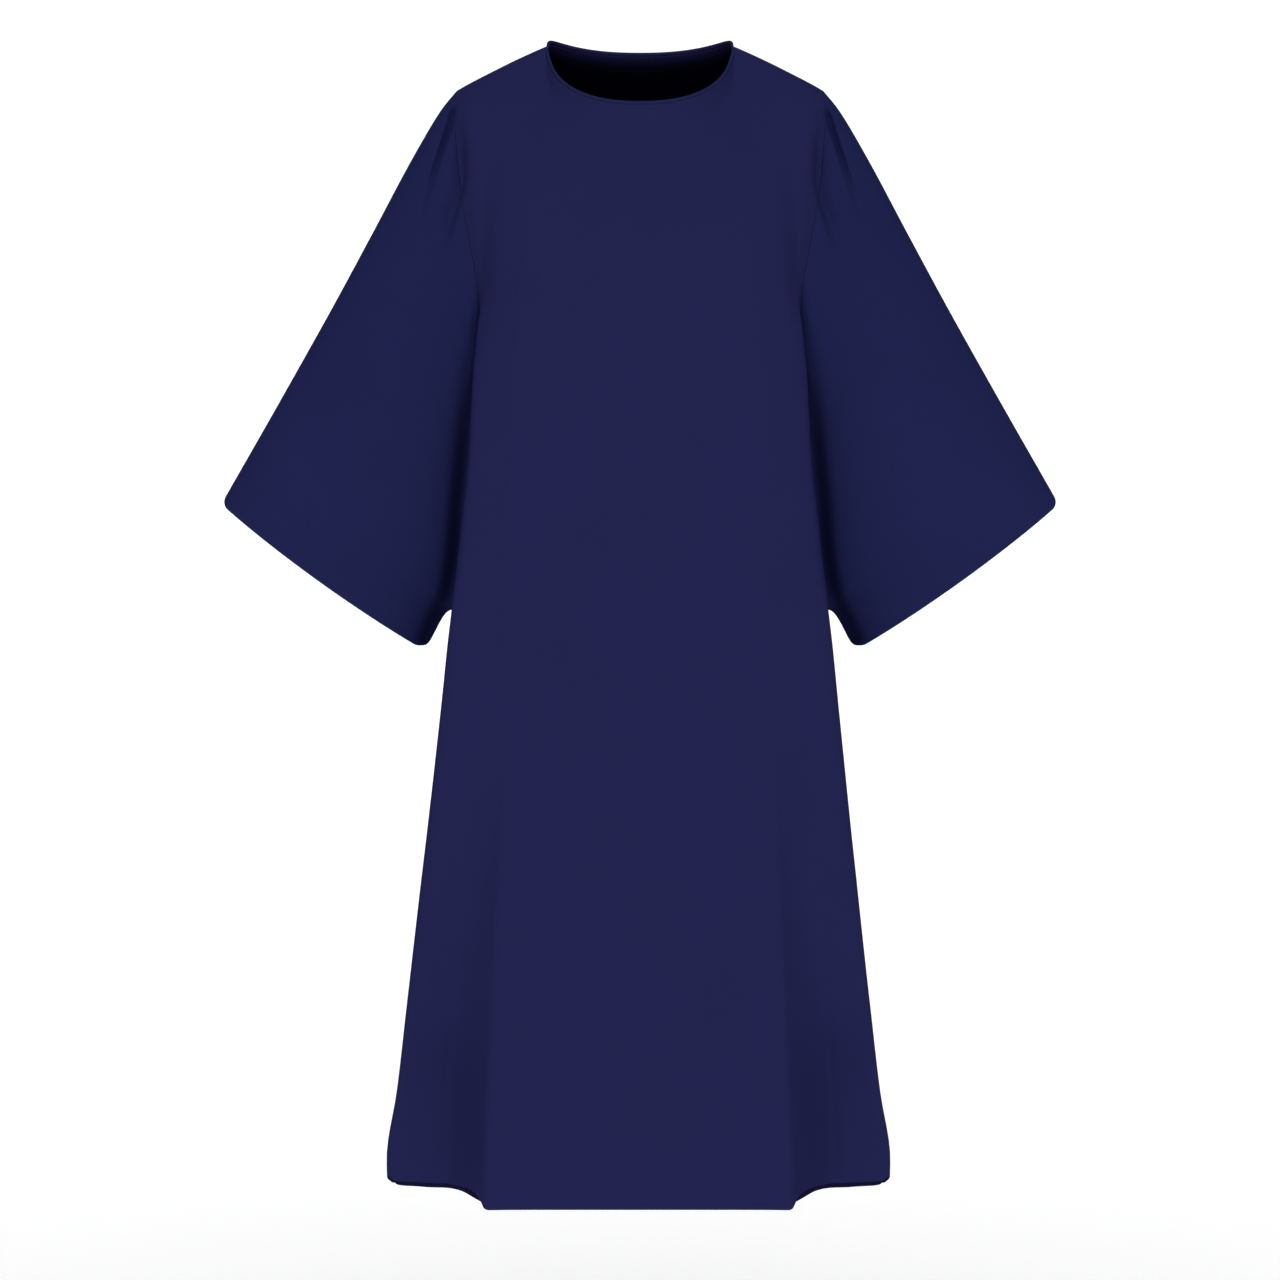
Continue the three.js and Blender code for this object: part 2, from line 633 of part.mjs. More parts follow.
const dalmatic = new THREE.Group();
function add(name, geometry, colour) {
  const mesh = new THREE.Mesh(geometry, clothMaterial(colour));
  mesh.name = name;
  dalmatic.add(mesh);
}
add('front', panelWall(front, frontShift, frontThickness, false), NAVY);
add('back', panelWall(back, backShift, backThickness, true), NAVY);
add('sleeve_left', sleeves.left, NAVY_SHADE);
add('sleeve_right', sleeves.right, NAVY_SHADE);
add('neck_binding', neckBinding(), NAVY_EDGE);

export default dalmatic;
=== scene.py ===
"""Dalmatic: a wide-sleeved vestment of one plain cloth, filled out with no wearer, in a pale studio.

The form's tables are in millimetres, as a pattern cutter writes them, and "down" is a depth below the
shoulders. Everything that reaches Blender is in metres, +Z up, with the front facing -Y and the
wearer's left at +X.
"""

import math

import bpy
import numpy as np
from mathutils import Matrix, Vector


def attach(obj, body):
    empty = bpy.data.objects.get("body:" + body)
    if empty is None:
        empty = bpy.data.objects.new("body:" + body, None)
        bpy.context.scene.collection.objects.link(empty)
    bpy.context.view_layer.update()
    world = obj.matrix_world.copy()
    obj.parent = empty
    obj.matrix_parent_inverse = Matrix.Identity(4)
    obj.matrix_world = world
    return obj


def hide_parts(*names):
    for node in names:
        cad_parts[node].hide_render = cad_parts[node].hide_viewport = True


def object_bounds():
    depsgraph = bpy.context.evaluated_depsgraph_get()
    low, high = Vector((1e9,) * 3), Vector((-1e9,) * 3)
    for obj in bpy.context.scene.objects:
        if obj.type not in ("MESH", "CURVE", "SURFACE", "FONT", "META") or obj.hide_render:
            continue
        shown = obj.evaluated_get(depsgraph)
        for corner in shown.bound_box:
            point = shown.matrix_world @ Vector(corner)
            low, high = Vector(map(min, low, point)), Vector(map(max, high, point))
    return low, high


bl_info = {
    "name": "Dalmatic",
    "version": (1, 0, 0),
    "blender": (4, 5, 0),
    "location": "3D View > Sidebar > Dalmatic",
    "description": "Builds a plain dalmatic that keeps a wearer's form, and a studio round it",
    "category": "Add Mesh",
}

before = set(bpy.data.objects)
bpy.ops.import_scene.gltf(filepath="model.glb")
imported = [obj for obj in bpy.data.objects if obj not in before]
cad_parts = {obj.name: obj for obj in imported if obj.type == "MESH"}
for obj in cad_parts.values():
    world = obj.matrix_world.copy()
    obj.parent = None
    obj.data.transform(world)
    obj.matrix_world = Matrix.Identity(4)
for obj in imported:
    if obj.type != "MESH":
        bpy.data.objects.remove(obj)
CAD_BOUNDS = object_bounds()

MM = 0.001

# --- The garment's form, in millimetres ---
# The way that each panel faces along Y.
FACING = {"front": -1, "back": 1}
UNDERARM_DOWN = 360
# Each hem's line as (mark, down): the front's rises beyond its cone folds, the back's hangs lower.
HEMS = {
    "front": [(2.75, 1262), (3, 1260.3), (3.23, 1256.3), (3.5, 1252), (3.82, 1248.8), (4.2, 1246.8),
              (5, 1249.3), (6.4, 1248), (6.75, 1247), (7, 1243), (7.15, 1241.5), (7.7, 1248),
              (8.6, 1258), (10, 1267)],
    "back": [(4.2, 1316), (4.7, 1313), (5, 1303), (5.7, 1288), (6.4, 1282), (7, 1279.5), (7.7, 1277.5),
             (8.6, 1274), (10, 1267)],
}
# The skirt sways to the wearer's right: by how much, from what depth and over what depth.
SWAY = {"shift": -1.7, "start": 650, "over": 400}
NECK = {"half_width": 106, "front_depth": 79, "back_depth": 59, "point_up": 29, "front_drop": 82}
NECK_BACK = {"rise": 10, "sag": 8}
NECK_SQUARENESS = 2.3
SHOULDER = {"tip": 208.6, "fall": 0.42, "bend": 0.0008}
# Below its top edge a panel swells out to its section over a reach and with a power: those at the tip
# of the shoulder, and those from the neck point inwards.
TIP_ROUND = {"reach": 85, "power": 0.5}
NECK_ROUND = {"front": {"reach": 195, "power": 1}, "back": {"reach": 130, "power": 1}}
# Over this depth the points below the top edge spread sideways to their places in the section.
NECK_SPREAD = 250
# Below the edge the corner at the neck point is rounded off over this many columns and this depth.
NECK_CORNER = {"columns": np.linspace(-2.4, 2.4, 9), "depth": 70}
# The section's bends. A ridge begins its turn this many millimetres before its mark. The other values
# are shares of the way between two marks: the end of that turn, the points round the edge, and the flank
# between side and edge where the sides are open and where they are tucked in.
RIDGE = {"front": {"before": 15, "after": 0.2}, "back": {"before": 42, "after": 0.36}}
FLANK = {"open": 0.45, "tucked": 0.3}
EDGE = {"before": (0.5, 0.3), "after": 0.3}
# The cuff's corners are rounded at the two folds, and its line bows outwards between them.
CUFF_CORNER = {"top": 12, "under": 13, "bow": 4.8, "near_cuff": 8}
# The place along the top fold from which the way to its end is the sleeve's own direction.
NEAR_CUFF = 0.99
SLEEVE_HALF_DEPTH = {"front": 60, "back": 54, "at_cuff": 0.84}
SLEEVE_FULLNESS = {"rise": 0.5, "fall": 0.42}
# Share of the sleeve along which the armhole's own form fades.
SLEEVE_SET = 0.35
# Share of the sleeve's half depth that a crease can take up.
SLEEVE_CREASE_SHARE = 0.7
# Points that a fold's line has in each span and that a crease's path has in all.
FOLD_POINTS = 40
PATH_POINTS = 48
# Least cosine between a wall's normal and the one that its seam shares, so that no mitre grows long.
MITRE_LIMIT = 0.35
TINY = 1e-9
# How far, and over what widths, painted light lifts the painted shade of the inside near the top edges
# and near the hems and cuffs.
PAINTED_LIGHT_NEAR_EDGES = {"top": 0.4, "top_width": 10, "low": 0.7, "low_width": 40}
# How far a side seam slants through the wall, as a share of the cloth, so that no light passes.
SEAM_SLANT = 0.8
# Extra rows and rings beside a seam and a free edge, as shares of one step.
CROWDED = {"seam": (0.12, 0.3, 0.6), "edge": (0.45, 0.2, 0.08)}

# A panel's own places: columns from the middle (0) over the neck point (8) to the side (15), rows from
# the top edge (0) over the underarm (14) to the hem (30). Its points lie on even columns, and on a few
# more close to the side.
NECK_COLUMN = 8
LAST_COLUMN = 15
EVEN_COLUMNS = 104
NEAR_SIDE_COLUMNS = [14.82, 14.88, 14.93, 14.965, 14.985, 15.0]
ARM_ROWS = 14
SKIRT_ROWS = 16
SKIRT_CROWDING = 1.35
COLUMN_MARKS = [0, 0.5, 1, 1.5, 2, 2.5, 3, 3.5, 4.2, 5, 5.7, 6.4, 7, 7.7, 8.6, 10]

SIDE_COLUMNS = ["down", "x", "front_y", "back_y", "tuck"]
SIDE = [
    [22.6, 208.6, -45, 42, 0],
    [60, 202, -44, 42, 0],
    [100, 196.5, -50, 46, 0],
    [150, 192, -62, 54, 0],
    [200, 186, -73, 60, 0],
    [250, 181, -77, 61, 0.1],
    [300, 177.5, -64, 52, 0.2],
    [330, 176, -41, 35, 0.5],
    [350, 175.2, -23, 20, 0.8],
]
# From the underarm down the two panels meet at the side, at (down, x).
SIDE_BELOW = [
    (360, 175), (380, 166), (410, 159), (450, 155), (530, 158), (610, 174), (700, 200), (800, 220),
    (900, 235), (1050, 254), (1150, 267), (1230, 276), (1262, 277),
]
SIDE += [[down, x, 0, 0, 1] for down, x in SIDE_BELOW]
PANEL_COLUMNS = ["down", "middle_y", "ridge_x", "ridge_y", "foot_x", "foot_y", "edge_x", "edge_y"]
PANELS = {
    "front": [
        [-30, -62, 88, -60, 125, -58, 160, -54],
        [28, -72, 98, -72, 134, -68, 170, -60],
        [100, -98, 112, -93, 142, -85, 172, -70],
        [180, -115, 122, -107, 150, -98, 173, -83],
        [250, -125, 130, -116, 154, -107, 172, -90],
        [300, -128, 134, -119, 159, -111, 178, -96],
        [360, -131, 138, -122, 164, -114, 184.5, -99],
        [450, -134, 141, -125, 169, -117, 189, -102],
        [530, -137, 143, -128, 175, -120, 198, -105],
        [610, -140, 144, -131, 180, -123, 206.5, -109],
        [660, -142, 144, -133, 182, -125, 212, -112],
        [700, -144, 144, -135, 182, -127, 215.5, -115],
        [800, -148, 146, -141, 179, -130, 224.7, -120],
        [884, -151, 150, -146, 178, -129, 233.1, -121],
        [1050, -157, 157, -156, 200, -114, 252.6, -109],
        [1150, -161, 162, -161, 209, -88, 265.5, -87],
        [1224, -164, 165, -164, 211, -87, 276.5, -84],
        [1260, -165, 166.5, -165, 212, -86, 275.5, -83],
    ],
    "back": [
        [-30, 50, 88, 50, 125, 48, 160, 46],
        [28, 60, 98, 62, 134, 60, 170, 54],
        [100, 78, 112, 82, 142, 77, 172, 66],
        [180, 92, 122, 93, 150, 86, 173, 73],
        [250, 98, 130, 96, 154, 89, 171, 76],
        [300, 99, 136, 96, 160, 89, 175, 78],
        [360, 100, 142, 95, 166, 88, 181, 78],
        [450, 101, 146, 94, 172, 88, 190, 77],
        [530, 103, 148, 95, 176, 88, 197, 76],
        [610, 106, 148, 98, 176, 88, 203, 75],
        [700, 110, 139, 105, 174, 89, 209, 73],
        [800, 116, 130, 115, 173, 88, 217, 69],
        [900, 122, 122, 126, 174, 86, 224, 64],
        [990, 127, 116, 136, 177, 81, 227, 58],
        [1090, 132, 112, 146, 181, 74, 231, 50],
        [1316, 138, 110, 162, 190, 62, 238, 34],
    ],
}
SLEEVE_TOP = [
    [208.6, 22.6], [226, 44], [260, 101], [305.5, 186], [352, 272], [416, 386], [476.8, 492.5],
]
SLEEVE_UNDER = [
    [175, 360], [180, 400], [184, 450], [189, 530], [197, 590], [209, 613], [221, 618.5], [245.2, 659.2],
]

# --- Creases ---
# Creases are soft troughs that the making and the hanging leave, in millimetres. A crease follows its
# path of (x, down) points; left and right are its half widths to either side of the way it runs, seen
# from the front. ease_in and ease_out are the shares of the path over which its two ends fade.
CREASE_COLUMNS = ["panel", "path", "depth", "left", "right", "ease_in", "ease_out"]
CREASES = [
    # a sharp pull from each shoulder tip down along the top of the sleeve
    ["front", [(211, 44), (217.5, 72), (226, 100), (238.5, 140), (254, 192)], 12, 2.6, 4, 0.1, 0.6],
    ["front", [(-211, 42), (-216.5, 70), (-225, 98), (-238.5, 142), (-255, 196)],
     11.5, 4, 2.6, 0.1, 0.6],
    # a crescent where the sleeve is set in, crisp towards the body and soft towards the arm
    ["front", [(206, 62), (199, 98), (198, 130), (204, 160), (213, 188), (221, 218)],
     12, 12, 4, 0.3, 0.3],
    ["front", [(-206, 60), (-199, 96), (-198, 128), (-204, 158), (-213, 186), (-221, 216)],
     11.5, 4, 12, 0.3, 0.3],
    # the hollow between the body and the sleeve, which runs on along the sleeve's under fold
    ["front", [(187, 296), (190, 336), (193, 380), (197, 434), (202, 490), (206, 547), (213, 590),
               (226, 622), (242, 655)], 19, 9, 7, 0.75, 0.02],
    ["front", [(-187, 296), (-190, 336), (-193, 380), (-197, 434), (-202, 490), (-206, 547),
               (-213, 590), (-226, 622), (-242, 655)], 19, 7, 9, 0.75, 0.02],
    # a last turn at the foot of each cone fold, where its wall meets the flat side of the skirt
    ["front", [(183, 880), (199, 1050), (209, 1150), (212, 1262)], 7, 9, 26, 0.7, 0.0],
    ["front", [(-183, 860), (-199, 1040), (-209, 1145), (-212, 1262)], 7, 26, 9, 0.7, 0.0],
    # the same on the back, softer
    ["back", [(214, 50), (224, 84), (236, 128), (247, 168)], 2.8, 4, 5, 0.25, 0.6],
    ["back", [(-213, 48), (-222, 80), (-233, 118), (-244, 158)], 2.6, 5, 4, 0.25, 0.6],
    ["back", [(206, 66), (197, 104), (194, 140), (203, 190)], 5, 12, 5, 0.3, 0.45],
    ["back", [(-207, 64), (-197, 100), (-193, 136), (-201, 182)], 5.4, 5, 12, 0.3, 0.45],
    ["back", [(190, 310), (200, 400), (206, 490), (213, 590), (226, 622), (242, 655)],
     12, 16, 10, 0.3, 0.02],
    ["back", [(-190, 310), (-200, 400), (-206, 490), (-213, 590), (-226, 622), (-242, 655)],
     12, 10, 16, 0.3, 0.02],
]

# The strip overlaps the cloth's edge, and it thins out by a share of its height at the neck points.
BINDING = {"overlap": 0.7, "thinned": 0.8, "thin_y": -3, "thin_reach": 8, "thin_beyond": 60}
BINDING_STATIONS = 300
BINDING_SIDES = 16
BINDING_SQUARENESS = 0.8
NORMAL_SMOOTHINGS = 3
STITCH_SEGMENTS = 6
STITCH_PROUD = 0.1
STITCH_END_GIRTH = 0.18


def mix(a, b, share):
    """The value that lies share of the way from a to b."""
    return a + (b - a) * share


def ease(share):
    """0 below zero, 1 above one, and an even S between them."""
    t = np.clip(share, 0.0, 1.0)
    return t * t * (3 - 2 * t)


def bump_over(distance, half_width):
    """A bell of height 1 at no distance that has almost gone two half widths away."""
    return np.exp(-((distance / half_width) ** 2))


def curve_through(at, value, place):
    """A curve through the points (at, value), read at place: cubic in each span, with tangents that are
    the harmonic mean of the two rates beside them, so that it never swings past a point."""
    at = np.asarray(at, float)
    value = np.asarray(value, float)
    rate = np.diff(value) / np.diff(at)
    before = np.concatenate([rate[:1], rate])
    after = np.concatenate([rate, rate[-1:]])
    turns = before * after <= 0
    total = np.where(turns, 1.0, before + after)
    tangent = np.where(turns, 0.0, 2 * before * after / total)
    x = np.clip(place, at[0], at[-1])
    i = np.clip(np.searchsorted(at, x, side="right") - 1, 0, len(at) - 2)
    span = at[i + 1] - at[i]
    t = (x - at[i]) / span
    bend = t * (1 - t) * span
    return mix(value[i], value[i + 1], ease(t)) + bend * ((1 - t) * tangent[i] - t * tangent[i + 1])


def table_at(names, rows, down):
    """Every column of a table at each depth in down, by name. The first column is the depth."""
    columns = np.array(rows, float).T
    return {name: curve_through(columns[0], column, down) for name, column in zip(names, columns)}


def through_mark(mark, before, after):
    """The control point that makes an even cubic B-spline pass through mark between its neighbours."""
    return (6 * mark - before - after) / 4


def spline(controls, t):
    """An even cubic B-spline. controls is (control, ..., axis), with one control beyond each end, and t
    counts the controls from the second one."""
    i = np.clip(np.floor(t).astype(int), 0, len(controls) - 4)
    f = t - i
    weights = [(1 - f) ** 3, 3 * f**3 - 6 * f**2 + 4, -3 * f**3 + 3 * f**2 + 3 * f + 1, f**3]
    total = np.zeros(controls.shape[1:])
    for k, weight in enumerate(weights):
        picked = np.take_along_axis(controls, (i + k)[None, ..., None], axis=0)[0]
        total += weight[..., None] / 6 * picked
    return total


def half_section(panel, down, t):
    """Point (x, y) of half a panel's section at each depth, with t running from the middle (0) over
    the ridge (3), its foot (5) and the rounded edge (7) to the side (10)."""
    mark = table_at(PANEL_COLUMNS, PANELS[panel], down)
    side = table_at(SIDE_COLUMNS, SIDE, down)

    def point(x, y):
        return np.stack(np.broadcast_arrays(x, y), axis=-1)

    def chest_y(x):
        return mix(mark["middle_y"], mark["ridge_y"], (x / mark["ridge_x"]) ** 2)

    turn_x = mark["ridge_x"] - RIDGE[panel]["before"]
    middle = point(0.0 * turn_x, mark["middle_y"])
    chest = point(turn_x / 2, chest_y(turn_x / 2))
    before_ridge = point(turn_x, chest_y(turn_x))
    ridge = point(mark["ridge_x"], mark["ridge_y"])
    foot = point(mark["foot_x"], mark["foot_y"])
    edge = point(mark["edge_x"], mark["edge_y"])
    after_ridge = mix(ridge, foot, RIDGE[panel]["after"])
    after_foot = mix(foot, edge, np.array(EDGE["before"]))
    seam = point(side["x"], side[panel + "_y"])
    open_flank = mix(seam, edge, FLANK["open"])
    tucked_flank = point(seam[..., 0], mix(seam[..., 1], edge[..., 1], FLANK["tucked"]))
    flank = mix(open_flank, tucked_flank, side["tuck"][..., None])
    behind_edge = mix(edge, flank, EDGE["after"])
    controls = [
        chest * np.array([-1, 1]),
        middle,
        chest,
        before_ridge,
        through_mark(ridge, before_ridge, after_ridge),
        after_ridge,
        foot,
        after_foot,
        through_mark(edge, after_foot, behind_edge),
        behind_edge,
        flank,
        seam,
        mix(flank, seam, 2),
    ]
    return spline(np.stack(controls), t)


def neck_seam(turn):
    """Point (x, y, z) of the neck seam: turn is 0 at the middle of the front, 1 at the neck point and 2
    at the middle of the back. A squared oval that dips in front and stands up a little behind."""
    angle = turn * np.pi / 2
    forward = np.cos(angle)
    ahead = np.maximum(forward, 0)
    across = np.maximum(np.sin(angle), 0) ** (2 / NECK_SQUARENESS)
    drop = NECK["front_drop"] * ahead ** (2 / NECK_SQUARENESS)
    behind = np.minimum(forward, 0)
    up = NECK_BACK["rise"] * (1 - (1 + behind) ** 4) - NECK_BACK["sag"] * behind**2
    y = -NECK["front_depth"] * ahead - NECK["back_depth"] * behind
    return np.stack([NECK["half_width"] * across, y, NECK["point_up"] - drop + up], axis=-1)


def shoulder_seam(share):
    """Point of the shoulder seam from the neck point (0) to the tip (1), steeper further out."""
    x = mix(NECK["half_width"], SHOULDER["tip"], share)
    out = x - NECK["half_width"]
    z = NECK["point_up"] - SHOULDER["fall"] * out - SHOULDER["bend"] * out**2
    return np.stack([x, 0 * x, z], axis=-1)


def top_edge(panel, column):
    """Top edge of a panel at each column: along the neck seam, then along the shoulder seam."""
    turn = np.minimum(column / NECK_COLUMN, 1)
    at_neck = neck_seam(turn if panel == "front" else 2 - turn)
    at_shoulder = shoulder_seam(np.maximum(column - NECK_COLUMN, 0) / (LAST_COLUMN - NECK_COLUMN))
    return np.where((column > NECK_COLUMN)[..., None], at_shoulder, at_neck)


def arm_share(row):
    """Share of the armhole's depth at a row. The rows crowd at the shoulder and at the underarm."""
    return (1 - np.cos(np.pi * row / ARM_ROWS)) / 2


def column_mark(column):
    """Mark of a panel's section at a column."""
    return curve_through(np.arange(LAST_COLUMN + 1), COLUMN_MARKS, column)


def hem_down(panel, column):
    """Depth of the hem at each column, read from its table at the column's mark."""
    marks, downs = np.array(HEMS[panel], float).T
    return curve_through(marks, downs, column_mark(column))


def body_surface(panel, columns, rows):
    """Outside of a panel on a grid of rows by columns. A point's section at its depth gives x and y;
    near the top edge x eases from the edge's own place, and y swells from the edge into the chest."""
    signed, row = np.meshgrid(columns, rows)
    column = np.abs(signed)
    top = top_edge(panel, column)
    top_down = -top[..., 2]
    skirt_share = (np.maximum(row - ARM_ROWS, 0) / SKIRT_ROWS) ** SKIRT_CROWDING
    arm_down = mix(top_down, UNDERARM_DOWN, arm_share(np.minimum(row, ARM_ROWS)))
    skirt_down = mix(UNDERARM_DOWN, hem_down(panel, column), skirt_share)
    down = np.where(row <= ARM_ROWS, arm_down, skirt_down)
    section = half_section(panel, down, column_mark(column))

    to_tip = ease((column - NECK_COLUMN) / (LAST_COLUMN - NECK_COLUMN))
    reach = mix(NECK_ROUND[panel]["reach"], TIP_ROUND["reach"], to_tip)
    power = mix(NECK_ROUND[panel]["power"], TIP_ROUND["power"], to_tip)
    beside = [top_edge(panel, np.abs(column + by)) for by in NECK_CORNER["columns"]]
    softened = np.mean(beside, axis=0)
    edge = mix(top, softened, ease((down - top_down) / NECK_CORNER["depth"])[..., None])
    below = np.maximum(down + edge[..., 2], 0)
    left = 1 - np.minimum(below / reach, 1)
    swell = (1 - left**2) ** power
    x = np.sign(signed) * mix(edge[..., 0], section[..., 0], ease(below / NECK_SPREAD))
    sway = SWAY["shift"] * ease((down - SWAY["start"]) / SWAY["over"])
    y = mix(edge[..., 1], section[..., 1], swell)
    return np.stack([x + sway, y, -down], axis=-1)


def fold_line(marks, share):
    """A fold's line through its (x, down) marks, read at shares of its length: a centripetal
    Catmull-Rom curve in the plane y = 0."""
    marks = np.array(marks, float)
    padded = np.vstack([2 * marks[0] - marks[1], marks, 2 * marks[-1] - marks[-2]])
    knots = np.sqrt(np.linalg.norm(np.diff(padded, axis=0), axis=1))
    fine = []
    t = np.linspace(0, 1, FOLD_POINTS, endpoint=False)[:, None]
    for i in range(len(marks) - 1):
        p0, p1, p2, p3 = padded[i : i + 4]
        d0, d1, d2 = knots[i : i + 3]
        leave = ((p1 - p0) / d0 - (p2 - p0) / (d0 + d1) + (p2 - p1) / d1) * d1
        reach = ((p2 - p1) / d1 - (p3 - p1) / (d1 + d2) + (p3 - p2) / d2) * d1
        square = -3 * p1 + 3 * p2 - 2 * leave - reach
        cube = 2 * p1 - 2 * p2 + leave + reach
        fine.append(p1 + leave * t + square * t**2 + cube * t**3)
    fine = np.vstack([*fine, marks[-1:]])
    length = np.concatenate([[0], np.cumsum(np.linalg.norm(np.diff(fine, axis=0), axis=1))])
    length /= length[-1]
    x = np.interp(share, length, fine[:, 0])
    down = np.interp(share, length, fine[:, 1])
    return np.stack([x, 0 * x, -down], axis=-1)


def corner_draw(radius, distance):
    """How far the cuff draws back up the sleeve at a distance from a fold, in a rounded corner."""
    left = 1 - np.minimum(distance / radius, 1)
    return radius * (1 - np.sqrt(1 - left**2))


def sleeve_form(along, across, is_front):
    """The sleeve between its two folds: along runs from the armhole to the cuff, across from the top
    fold to the under fold. It is as deep as a power of the way from each fold."""
    top = fold_line(SLEEVE_TOP, along)
    under = fold_line(SLEEVE_UNDER, along)
    point = mix(top, under, across[..., None])
    rise, fall = SLEEVE_FULLNESS["rise"], SLEEVE_FULLNESS["fall"]
    fullest = rise / (rise + fall)
    fullness = (across / fullest) ** rise * (np.maximum(1 - across, 0) / (1 - fullest)) ** fall
    deep = np.where(is_front, -SLEEVE_HALF_DEPTH["front"], SLEEVE_HALF_DEPTH["back"])
    point[..., 1] = deep * mix(1, SLEEVE_HALF_DEPTH["at_cuff"], along) * fullness
    return point


def sleeve_surface(armhole, arm_rows, along):
    """Outside of the +X sleeve as rings: each starts on the top fold, runs down the front and back up
    behind. The difference between the armhole and the sleeve's own first ring fades along it."""
    is_front = np.arange(len(armhole)) <= len(armhole) // 2
    share = arm_share(arm_rows)
    across = np.concatenate([share, share[-2:0:-1]])
    along, across = np.meshgrid(along, across, indexing="ij")
    point = sleeve_form(along, across, is_front)
    at_seam = armhole - sleeve_form(0 * across[0], across[0], is_front)
    point += at_seam * (1 - ease(along / SLEEVE_SET))[..., None]
    width = np.linalg.norm(fold_line(SLEEVE_TOP, along) - fold_line(SLEEVE_UNDER, along), axis=-1)
    draw = corner_draw(CUFF_CORNER["top"], across * width)
    draw += corner_draw(CUFF_CORNER["under"], (1 - across) * width)
    draw -= CUFF_CORNER["bow"] * 4 * across * (1 - across)
    up_sleeve = fold_line(SLEEVE_TOP, NEAR_CUFF) - fold_line(SLEEVE_TOP, 1.0)
    up_sleeve /= np.linalg.norm(up_sleeve)
    return point + (draw * along ** CUFF_CORNER["near_cuff"])[..., None] * up_sleeve


# --- Creases and seams ---
def crease_depth(points, panel):
    """How deep the creases of a panel press in at each point, from its x and its depth. Each trough is
    a bell of the distance to its path, with its own width to either side, and eases at both ends."""
    flat = points[..., [0, 2]].reshape(-1, 2) * [1, -1]
    depth = np.zeros(len(flat))
    for row in CREASES:
        crease = dict(zip(CREASE_COLUMNS, row))
        if crease["panel"] != panel:
            continue
        marks = np.array(crease["path"], float)
        at = np.linspace(0, len(marks) - 1, PATH_POINTS)
        path = np.stack([curve_through(np.arange(len(marks)), marks[:, k], at) for k in (0, 1)], axis=1)
        away = crease["left"] + crease["right"]
        near = np.all((flat > path.min(0) - 2 * away) & (flat < path.max(0) + 2 * away), axis=1)
        if not near.any():
            continue
        start, step = path[:-1], np.diff(path, axis=0)
        offset = flat[near, None, :] - start[None]
        share = np.clip((offset * step).sum(-1) / (step**2).sum(-1), 0, 1)
        apart = offset - share[..., None] * step
        distance = np.linalg.norm(apart, axis=-1)
        closest = distance.argmin(axis=1)
        pick = np.arange(len(closest))
        cross = step[closest, 0] * apart[pick, closest, 1] - step[closest, 1] * apart[pick, closest, 0]
        half_width = np.where(cross < 0, crease["left"], crease["right"])
        way = (closest + share[pick, closest]) / len(step)
        fade = ease(way / crease["ease_in"]) * ease((1 - way) / max(crease["ease_out"], TINY))
        depth[near] += crease["depth"] * fade * bump_over(distance[pick, closest], half_width)
    return depth.reshape(points.shape[:-1])


def within_half_depth(depth, y):
    """Depth of a crease on a sleeve, eased off against its share of the sleeve's own half depth there,
    so that the two halves never meet."""
    room = SLEEVE_CREASE_SHARE * np.abs(y)
    return depth * room / np.sqrt(depth**2 + room**2 + TINY)


def grid_normals(grid, wraps):
    """Normals of a grid of points: the cross product of its two central differences."""
    if wraps:
        across = np.roll(grid, -1, axis=1) - np.roll(grid, 1, axis=1)
    else:
        across = np.gradient(grid, axis=1)
    normal = np.cross(np.gradient(grid, axis=0), across)
    length = np.linalg.norm(normal, axis=-1, keepdims=True)
    return normal / np.maximum(length, TINY)


def unit(vectors):
    """Each vector with length 1."""
    return vectors / np.maximum(np.linalg.norm(vectors, axis=-1, keepdims=True), TINY)


def side_step(run, outward, into_piece, gap):
    """Half a gap off a seam, square to its run and to its outward direction, towards into_piece."""
    step = unit(np.cross(run, outward))
    side = np.sign((step * into_piece).sum(-1, keepdims=True))
    return step * side * gap / 2


def seam_thickness(normal, shared, other_piece, cloth):
    """Wall of a piece at a seam. Over a ridge the two walls meet in a mitre; in a valley each keeps its
    own normal, and they part behind the seam."""
    valley = (normal * other_piece).sum(-1, keepdims=True) > 0
    mitre = shared * cloth / np.maximum((shared * normal).sum(-1, keepdims=True), MITRE_LIMIT)
    return np.where(valley, normal * cloth, mitre)


